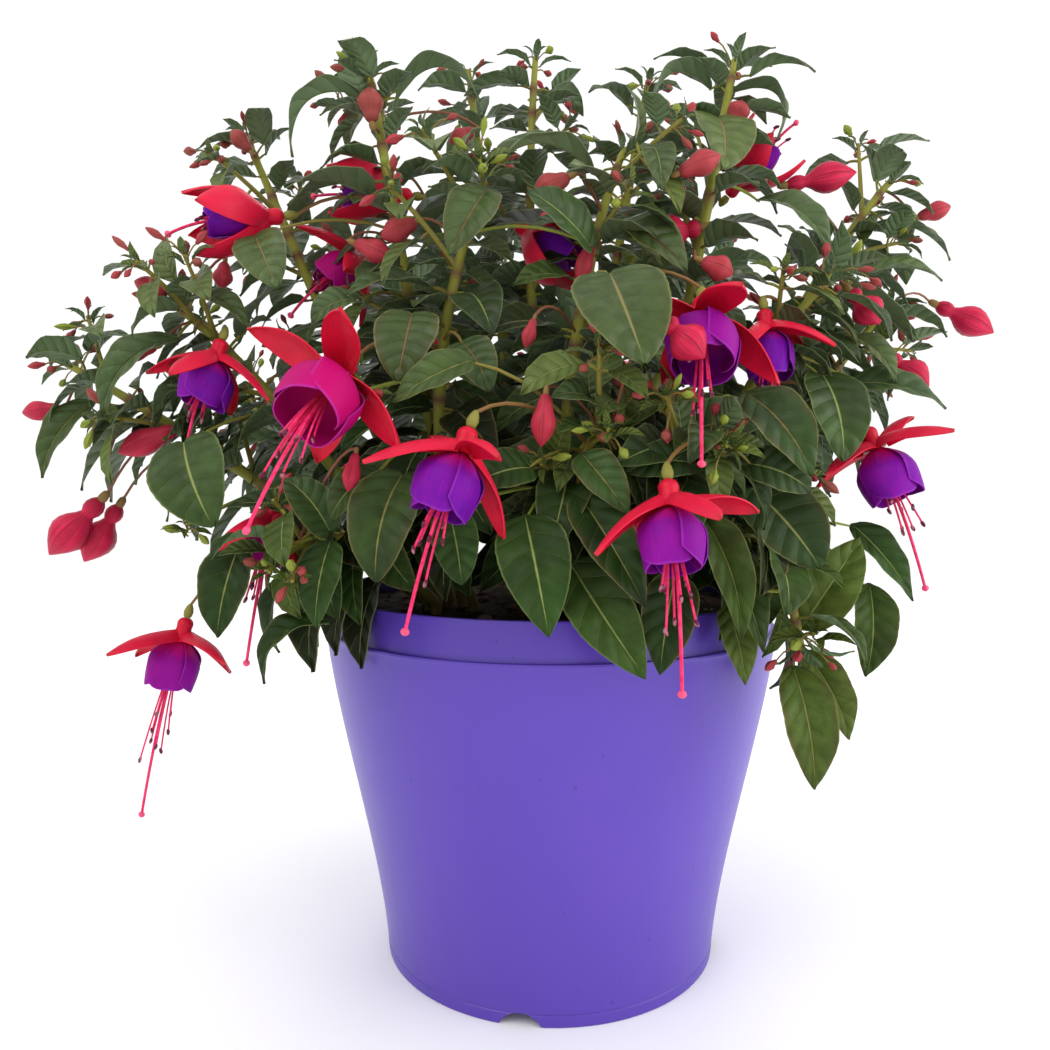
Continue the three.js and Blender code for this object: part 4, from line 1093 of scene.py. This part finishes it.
def addLeaf(skin, leaf, start, form):
    base, tip = leaf["base"], leaf["tip"]
    handle = start.lerp(base, 0.5) + up * stalkLook["leafRise"] * (base - start).length
    steps, sides = (5, 6) if leaf["width"] > stalkLook["fineUnder"] else (3, 4)
    line = bentLine(start, handle, base + (tip - base).normalized() * stalkLook["leafReach"], steps)
    thick = min(stalkLook["leaf"], leaf["width"] * stalkLook["leafShare"])
    red = rng.random()
    addTube(skin, line, [thick] * (steps - 1) + [thick * 0.9, thick * 0.55], sides, (0.6, red * 0.7, 0))
    slim = {**leaf, "width": leaf["width"] * leafLook["slim"]}
    points = placeBlade(form, slim, rng.uniform(-0.16, 0.16), rng.uniform(-0.4, 0.4))
    tint = (rng.random(), clamp(leaf["age"] + rng.uniform(-0.15, 0.15)), red)
    addToSkin(skin, points, form["faces"], form["place"], tint, 0)


def addBud(skin, start, root, point, width, tint):
    axis = (point - root).normalized()
    foot = root - axis * budLook["ovary"] * width
    addStalk(skin, start, foot + axis * 0.4, stalkLook["flower"], (0.3, 1, 0))
    green = [foot, foot.lerp(root, 0.3), foot.lerp(root, 0.7), root + axis * 0.4]
    radii = [0.6, width * 0.11, width * 0.13, width * 0.12]
    addTube(skin, green, radii, 8, (0.5, 0.75, 0))
    centres = [root.lerp(point, share) for share in budLook["shares"]] + [point]
    widths = budLook["widths" if width > budLook["large"] else "young"]
    radii = [share * width / 2 for share in widths] + [0.05]
    seams = lambda angle, along: 1 - budLook["seam"] * max(0, math.cos(4 * angle)) ** 6 * (0.3 + along)
    addTube(skin, centres, radii, budLook["sides"], tint, 2, seams)


def addTinyBud(skin, start, root, point, width, tint):
    addStalk(skin, start, root, stalkLook["tiny"], (0.4, 0.6, 0), 3, 4)
    centres = [root.lerp(point, share) for share in tinyBud["shares"]] + [point]
    radii = [share * width / 2 for share in tinyBud["widths"]] + [0.05]
    addTube(skin, centres, radii, 6, tint, 2)


skins = {name: newSkin() for name in stems}
taken = []  # spots that are already filled, with the room that each needs


def take(point, room):
    taken.append((point.x, point.y, point.z, room))


def isFree(points, room):
    spots = np.array(taken)
    for point in points:
        away = np.linalg.norm(spots[:, :3] - np.array(point), axis=1)
        if np.any(away < spots[:, 3] + room):
            return False
    return True


def leafSpots(leaf):
    rib = [leaf["base"].lerp(leaf["tip"], share) for share in (0.2, 0.5, 0.8)]
    return [spot + leaf["face"] * leaf["bow"] for spot in rib]


for flower in flowers:
    root, axis = flower["root"], flower["axis"]
    skirt, reach = flower["values"][3:5]
    for step in (0, 10, 20, 30):
        take(root + axis * step, skirt * 0.8)
    for step in (40, 52):
        take(root + axis * min(step, reach), 3)
for bud in hungBuds:
    for share in (0.2, 0.5, 0.8):
        take(bud["root"].lerp(bud["point"], share), bud["width"] * 0.45)
for leaf in hungLeaves:
    for spot in leafSpots(leaf):
        take(spot, leaf["width"] * 0.22)

# In front of the stems that the picture shows, nothing more grows
inView = {"from": 0.3, "to": 0.95, "steps": 9, "reaches": (10, 22, 34), "room": 4}
inView["stems"] = ["stem_centre", "stem_centre_left", "stem_left_tall", "stem_right_tall"]
inView["stems"] += ["stem_left", "stem_left_upper", "stem_right_upper"]
for name in inView["stems"]:
    for i in range(inView["steps"]):
        share = inView["from"] + (inView["to"] - inView["from"]) * i / (inView["steps"] - 1)
        spot = plantOf[name]["curve"](share)
        for reach in inView["reaches"]:
            take(spot + towardsEye(spot) * reach, inView["room"])

# Pairs at every step up a stem, then side shoots with tufts, then single leaves deep inside
growth = {"seed": 5, "every": 13, "first": 0.16, "last": 0.97, "longest": 42, "shortest": 20}
growth.update(room=2.4, innerOver=28, turns=(0, 25, -25, 50, -50, 75), margin=4, lowest=120)
shootLook = {"count": 6, "first": 0.42, "span": 0.5, "shortest": 26, "longest": 52, "lowest": 200}
shootLook.update(steps=8, radius=1.4, thinner=0.07, joints=(0.45, 0.75), twist=200, leaf=(20, 29))
singleLook = {"count": 30, "from": 0.1, "to": 0.75, "leaf": (24, 46)}
potRoom = {"height": 188, "radius": 118}  # leaves keep off the pot and what is above it
rng = random.Random(growth["seed"])


def anySide(axis):
    return crossAxes(axis, rng.uniform(0, 2 * math.pi))[0]


def insideFrame(point):
    low, high = (np.array(corner) / mm for corner in cadBox)
    past = np.maximum(low - np.array(point), np.array(point) - high)
    return past.max() < growth["margin"] and point.z > growth["lowest"]


# Grows a leaf where there is room for it, flatter in the crown and drooping low down
def tryLeaf(skin, start, across, length, form, age):
    height = heightShare(start)
    way = across * 0.85 + outwards(start) * 0.4 + up * (rng.uniform(-0.85, -0.45) + 0.85 * height)
    base = start + across * length * 0.2 + up * 1.5
    tip = base + way.normalized() * length - up * 0.14 * length
    leaf = {"base": base, "tip": tip, "face": facing(base, 0.35 + 0.45 * height), "age": age}
    leaf.update(bow=length * 0.1, width=length * rng.uniform(0.5, 0.62))
    inPot = tip.z < potRoom["height"] and tip.xy.length < potRoom["radius"]
    if inPot or not insideFrame(tip) or not isFree(leafSpots(leaf), growth["room"]):
        return False
    addLeaf(skin, leaf, start, form)
    for spot in leafSpots(leaf):
        take(spot, leaf["width"] * 0.2)
    return True


# The end of a shoot: a tuft of young leaves with small buds on thin stalks
tuftLook = {"pairs": 3, "leaf": 14, "width": 0.36, "buds": 5, "bud": 7.5, "budWidth": 3.8, "stalk": 12}
tuftLook.update(atTip=1.15, atShoot=0.85, smaller={"stem_left_low": 0.65})


def addTuft(skin, top, direction, size, form=smallLeaf, greens=0.2):
    for pair in range(tuftLook["pairs"]):
        for other in (0, 1):
            across = sideAt(direction, pair, other, rng.uniform(-20, 20))
            start = top - direction * (pair * 2.4 + 0.6)
            length = size * tuftLook["leaf"] * (0.5 + 0.3 * pair) * rng.uniform(0.8, 1.2)
            way = (across + direction * (1.1 - 0.35 * pair) + outwards(start) * 0.2).normalized()
            base = start + way * 2
            tip = base + way * length - up * 0.1 * length
            if not insideFrame(tip):
                continue
            leaf = {"base": base, "tip": tip, "face": (direction + up * 0.4).normalized()}
            leaf.update(bow=length * 0.14, width=length * tuftLook["width"], age=1)
            addLeaf(skin, leaf, start, form)
    for i in range(tuftLook["buds"]):
        across = anySide(direction)
        start = top - direction * rng.uniform(0, 9)
        way = (across + direction * rng.uniform(0.1, 1.1) + up * rng.uniform(-0.3, 0.3)).normalized()
        root = start + way * tuftLook["stalk"] * rng.uniform(0.5, 1.1) * size
        length = tuftLook["bud"] * rng.uniform(0.6, 1.3)
        point = root + (way - up * 0.25).normalized() * length
        if not insideFrame(point) or not isFree([root.lerp(point, 0.5)], 1.5):
            continue
        green = 1 if rng.random() < greens else 0
        tint = (rng.uniform(0.5, 1) * (1 - green), green, 0)
        addTinyBud(skin, start, root, point, tuftLook["budWidth"] * rng.uniform(0.7, 1.2), tint)
        take(root.lerp(point, 0.5), 3)


def growStem(plant):
    skin = skins[plant["name"]]
    length = sum((plant["path"][i + 1] - plant["path"][i]).length for i in range(stretches))
    joints = list(pairs["joints"])
    smaller = tuftLook["smaller"].get(plant["name"], 1)
    step = growth["every"] / length
    share, number = growth["first"], 0
    while share < growth["last"]:
        if number % 3 == 1:
            joints.append(share)
        start = plant["curve"](share)
        along = directionOn(plant, share)
        size = growth["longest"] + (growth["shortest"] - growth["longest"]) * share
        for other in (0, 1):
            for turn in growth["turns"]:
                across = sideAt(along, number, other, 37 * plant["index"] + turn)
                form = innerLeaf if size > growth["innerOver"] else smallLeaf
                # Low on a stem the age value is low enough to paint the leaf with shade
                if tryLeaf(skin, start, across, size * rng.uniform(0.85, 1.1), form, 0.15 + 0.6 * share):
                    break
        share += step
        number += 1
    for i in range(shootLook["count"]):
        share = shootLook["first"] + shootLook["span"] * (i + rng.random() * 0.6) / shootLook["count"]
        start = plant["curve"](share)
        along = directionOn(plant, share)
        across = anySide(along)
        way = (across + along * 0.7 + outwards(start) * 0.35 + up * 0.15).normalized()
        reach = rng.uniform(shootLook["shortest"], shootLook["longest"]) * (1.15 - 0.4 * share)
        end = start + way * reach + up * 3
        clear = insideFrame(end) and end.z >= shootLook["lowest"]
        if not clear or not isFree([start.lerp(end, 0.7), end], 3):
            continue
        line = bentLine(start, start.lerp(end, 0.5) + up * reach * 0.08, end, shootLook["steps"])
        radii = [shootLook["radius"] - shootLook["thinner"] * k for k in range(len(line))]
        addTube(skin, line, radii, 6, (0.5, 0.35, 0))
        direction = (line[-1] - line[-2]).normalized()
        for pair in shootLook["joints"]:
            for other in (0, 1):
                spot = start.lerp(end, pair)
                side = sideAt(direction, 0, other, shootLook["twist"] * pair)
                tryLeaf(skin, spot, side, rng.uniform(*shootLook["leaf"]), smallLeaf, 0.8)
        addTuft(skin, end, direction, tuftLook["atShoot"] * smaller)
        take(end, 5)
    addTuft(skin, plant["tip"], directionOn(plant, 1), tuftLook["atTip"] * smaller)
    # Single leaves deep inside get an age value of 0.1, which paints them with shade
    for _ in range(singleLook["count"]):
        share = rng.uniform(singleLook["from"], singleLook["to"])
        across = anySide(directionOn(plant, share))
        tryLeaf(skin, plant["curve"](share), across, rng.uniform(*singleLook["leaf"]), innerLeaf, 0.1)
    addStem(skin, plant, joints)


topPairs = {"from": 0.9, "width": 0.78, "bow": 1.5}

for leaf in hungLeaves:
    plant = plantOf[leaf["stem"]]
    share = leaf.get("joint") or nearestShare(plant, leaf["base"])
    broad = leaf["width"] > leafLook["heartOver"] * (leaf["tip"] - leaf["base"]).length
    form = middleLeaf if "joint" in leaf else heartLeaf if broad else largeLeaf
    if share > topPairs["from"] and "joint" in leaf:
        leaf = {**leaf, "width": leaf["width"] * topPairs["width"], "bow": leaf["bow"] * topPairs["bow"]}
    addLeaf(skins[leaf["stem"]], leaf, plant["curve"](share), form)
for bud in hungBuds:
    plant = plantOf[bud["stem"]]
    start = plant["curve"](nearestShare(plant, bud["root"]))
    brown = 0.9 * heightShare(bud["root"]) if bud["width"] < budLook["brownUnder"] else 0.04
    tint = (brown * rng.uniform(0.6, 1.1), 0, 0)
    addBud(skins[bud["stem"]], start, bud["root"], bud["point"], bud["width"], tint)
print("leaves and buds placed")

for plant in plants:
    growStem(plant)
print("finer growth placed, spots taken:", len(taken))

# Side shoots with green buds, read off the picture: across, down, depth and size
sprigs = [
    (480, 161, -98, 0.9),
    (364, 391, -128, 0.8),
    (608, 430, -130, 1),
    (722, 446, -124, 1),
    (814, 634, -104, 1.05),
    (188, 525, -72, 0.8),
]


def growSprig(across, downwards, depth, size):
    top = sighted(across, downwards, depth)
    reaches = [(plant["curve"](nearestShare(plant, top)) - top).length for plant in plants]
    plant = plants[reaches.index(min(reaches))]
    start = plant["curve"](nearestShare(plant, top))
    line = bentLine(start, start.lerp(top, 0.5) + up * 2, top, 6)
    skin = skins[plant["name"]]
    addTube(skin, line, [1.1 - 0.05 * k for k in range(7)], 6, (0.9, 0.1, 0))
    addTuft(skin, top, (towardsEye(top) + up * 0.9).normalized(), size, innerLeaf, 0.9)


for sprig in sprigs:
    growSprig(*sprig)
print("side shoots placed")

# Blooms: waxy tube and sepals, pink stamens and style, and a skirt of four lapped petals
tubeLook = {"sides": 20, "shares": [0, 0.05, 0.14, 0.25, 0.36, 0.48, 0.65, 0.84, 1]}
tubeLook["radii"] = [1.7, 2.6, 3.4, 3.75, 3.7, 3.5, 3.8, 4.4, 4.8]
antherLook = {"length": 3.1, "width": 1.7}
skirtLook = {"length": 22, "neck": 2.8, "knee": 0.52, "mouth": 0.86, "span": 134, "ramp": 1.4}
skirtLook.update(wave=0.7, thick=0.45, gap=0.4, blank=0.02)
petalForm = bladeForm(12, 12, lambda x, y: (x, y, 0), skirtLook["blank"], 1)


def rayAt(axes, angle):
    return axes[0] * math.cos(angle) + axes[1] * math.sin(angle)


def addSepals(skin, root, axis, turn, openings, size):
    axes = crossAxes(axis, turn)
    length = bloomTube["length"] * size
    centres = [root + axis * length * share for share in tubeLook["shares"]]
    radii = [radius * size for radius in tubeLook["radii"]]
    ribs = lambda angle, along: 1 + 0.03 * math.cos(8 * angle)
    points, faces, place = tube(centres, radii, tubeLook["sides"], ribs)
    place[:, 1] *= 0.5
    addToSkin(skin, points, faces, place, (0, 0, 0), 0)
    for i, opening in enumerate(openings):
        out = rayAt(axes, math.pi / 2 * i)
        bend = math.radians(opening)
        way = out * math.sin(bend) + axis * math.cos(bend)
        rim = root + axis * length + out * (tubeLook["radii"][-1] * size - 0.5)
        tip = rim + way * sepalLook["length"] * size
        face = out * math.cos(bend) - axis * math.sin(bend)
        base = rim - axis * 3 * size - out * 0.5 * size
        cupped = opening < sepalLook["cupUnder"]
        leaf = {"base": base, "tip": tip, "face": face}
        leaf["bow"] = sepalLook["cupBow" if cupped else "bow"] * size
        leaf["width"] = sepalLook["cupWidth" if cupped else "width"] * size
        points = placeBlade(sepalForm, leaf, rng.uniform(-0.06, 0.06), rng.uniform(-0.25, 0.25))
        addToSkin(skin, points, sepalForm["faces"], sepalForm["place"], (0, 0, 0), 0)


def addThreads(skin, root, axis, turn, size, skirt, reach):
    axes = crossAxes(axis, turn)
    start = root + axis * (bloomTube["length"] * size - bloomTube["sunk"])
    sway = axes[0] * rng.uniform(-1, 1) + axes[1] * rng.uniform(-1, 1)
    stage = [i / 16 for i in range(17)]
    line = [hangingPoint(start, axis, reach, s * 0.97) + sway * 1.4 * math.sin(3.1 * s) for s in stage]
    radii = [threadLook["style"] * (1.15 - 0.25 * s) for s in stage]
    addTube(skin, line, radii, 8, (0, 0, 0))
    end, way = line[-1], (line[-1] - line[-2]).normalized()
    knob = [end + way * step for step in (-1.1, -0.5, 0.4, 1.1, 1.6)]
    lobes = lambda angle, along: 1 + 0.2 * math.cos(4 * angle)
    addTube(skin, knob, [0.6, 1.15, 1.35, 1, 0.35], 16, (0, 1, 0), 1, lobes)
    for i in range(threadLook["count"]):
        out = rayAt(axes, 2 * math.pi * (i + 0.5) / threadLook["count"] + rng.uniform(-0.2, 0.2))
        foot = start + out * 0.9 * size
        share = threadLook["shares"][i % 4] * rng.uniform(0.88, 1.12)
        aside = out * threadLook["spread"] * skirt * rng.uniform(0.3, 1.2)
        stage = [k / 9 for k in range(10)]
        line = [hangingPoint(foot, axis, reach, s * share) + aside * s**1.6 for s in stage]
        addTube(skin, line, [threadLook["radius"]] * 10, 6, (0, 0, 0))
        end = line[-1]
        way = (axis + out * rng.uniform(-0.6, 0.9) - up * 0.5).normalized()
        half = way * antherLook["length"] / 2
        width = antherLook["width"] / 2
        centres = [end + half * step for step in (-1, -0.6, 0, 0.6, 1)]
        radii = [width * share for share in (0.3, 0.85, 1, 0.8, 0.25)]
        pod = lambda angle, along: 1 - 0.3 * max(0, math.cos(2 * angle)) ** 4
        addTube(skin, centres, radii, 8, (1, 0, 0), 1, pod)


def skirtRadius(share, radius, neck):
    knee = skirtLook["knee"]
    if share < knee:
        return neck + (radius - neck) * math.sin(share / knee * math.pi / 2) ** 0.9
    part = (share - knee) / (1 - knee)
    return radius * (1 - (1 - skirtLook["mouth"]) * part**1.7)


def addPetals(skin, root, axis, turn, size, radius, pink):
    axes = crossAxes(axis, turn)
    top = bloomTube["length"] * size + skirtLook["gap"]
    length = skirtLook["length"] * size
    for k in range(4):
        phase = rng.uniform(0, 6.28)
        middle = math.radians(37 + 90 * k)
        points = []
        for x, y, z in petalForm["points"]:
            angle = middle + math.radians(skirtLook["span"] / 2) * x
            reach = skirtRadius(y, radius, skirtLook["neck"] * size)
            reach += skirtLook["ramp"] * x * (0.2 + 0.8 * y)
            reach += skirtLook["wave"] * math.sin(4 * x + phase) * y**3
            reach += z * skirtLook["thick"] / skirtLook["blank"]
            fall = 1.05 - 0.24 * abs(x) ** 2.6 + 0.015 * math.sin(6 * x + phase)
            points.append(root + axis * (top + y * length * fall) + rayAt(axes, angle) * max(reach, 1.5))
        tint = (clamp(pink + rng.uniform(-0.08, 0.12)), 0, 0)
        addToSkin(skin, np.array(points), petalForm["faces"], petalForm["place"], tint, 0)


def addOvary(skin, plant, root, axis, size):
    end = root - axis * 0.25
    start = root - axis * (ovaryLook["length"] * size + 0.3)
    foot = plant["curve"](nearestShare(plant, start))
    addStalk(skin, foot, start + axis * 0.6, 0.75, (0.3, 0.8, 0))
    centres = [start.lerp(end, share) for share in ovaryLook["shares"]]
    radii = [radius * size for radius in ovaryLook["radii"]]
    addTube(skin, centres, radii, 12, (0.8, 0.35, 0))


# The stem that carries a bloom has a corner of the frame close to the end of its ovary
def carrierOfBloom(root, axis):
    spot = root - axis * 0.3
    near = [corners[number][1] for _, number, _ in cornerTree.find_range(spot, 2.6)]
    return next(name for name in near if name in plantOf)


for flower in flowers:
    name, root, axis = flower["name"], flower["root"], flower["axis"]
    openings, turn, size, skirt, reach, pink = flower["values"]
    spin = math.radians(turn)
    plant = plantOf[carrierOfBloom(root, axis)]
    addOvary(skins[plant["name"]], plant, root, axis, size)
    red = newSkin()
    addSepals(red, root, axis, spin, openings, size)
    addThreads(red, root, axis, spin, size, skirt, reach)
    piece = finishSkin(name + "_red", red, [sepalMaterial, threadMaterial])
    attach(piece, "root")
    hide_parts(name + "_sepals")
    violet = newSkin()
    addPetals(violet, root, axis, spin, size, skirt, pink)
    piece = finishSkin(name + "_skirt", violet, [corollaMaterial])
    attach(piece, "root")
    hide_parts(name + "_corolla")
print("blooms made")

for name, skin in skins.items():
    piece = finishSkin(name + "_leafy", skin, [leafMaterial, stemMaterial, budMaterial])
    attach(piece, "root")
    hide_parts(name)
    print(name, len(piece.data.polygons), "faces")


# Studio: pale floor, even light from all round and a soft key from the upper left
def makeStudio():
    floor = begin(bpy.ops.mesh.primitive_plane_add, size=12, location=(0, 2, 0))
    floor.name = "floor"
    material = bpy.data.materials.new("floor")
    material.use_nodes = True
    shader = material.node_tree.nodes["Principled BSDF"]
    shader.inputs["Base Color"].default_value = (0.95, 0.95, 0.95, 1)
    shader.inputs["Roughness"].default_value = 0.8
    floor.data.materials.append(material)
    world = bpy.data.worlds.new("studio")
    bpy.context.scene.world = world
    world.use_nodes = True
    world.node_tree.nodes["Background"].inputs[0].default_value = (1, 1, 1, 1)
    world.node_tree.nodes["Background"].inputs[1].default_value = 1.06
    lamps = {
        "key": [(-0.9, -1.1, 1.5), 8.5, 0.9],
        "fill": [(1.4, -0.5, 0.6), 11, 1.2],
        "back": [(0.2, 1.5, 1.2), 5, 1.0],
    }
    for name, (place, power, size) in lamps.items():
        lamp = bpy.data.objects.new(name, bpy.data.lights.new(name, "AREA"))
        lamp.data.energy = power
        lamp.data.size = size
        lamp.location = place
        aim = Vector((0, 0, 0.25)) - Vector(place)
        lamp.rotation_euler = aim.to_track_quat("-Z", "Y").to_euler()
        bpy.context.scene.collection.objects.link(lamp)


makeStudio()
bpy.context.scene.view_settings.view_transform = "Standard"
print("studio set")
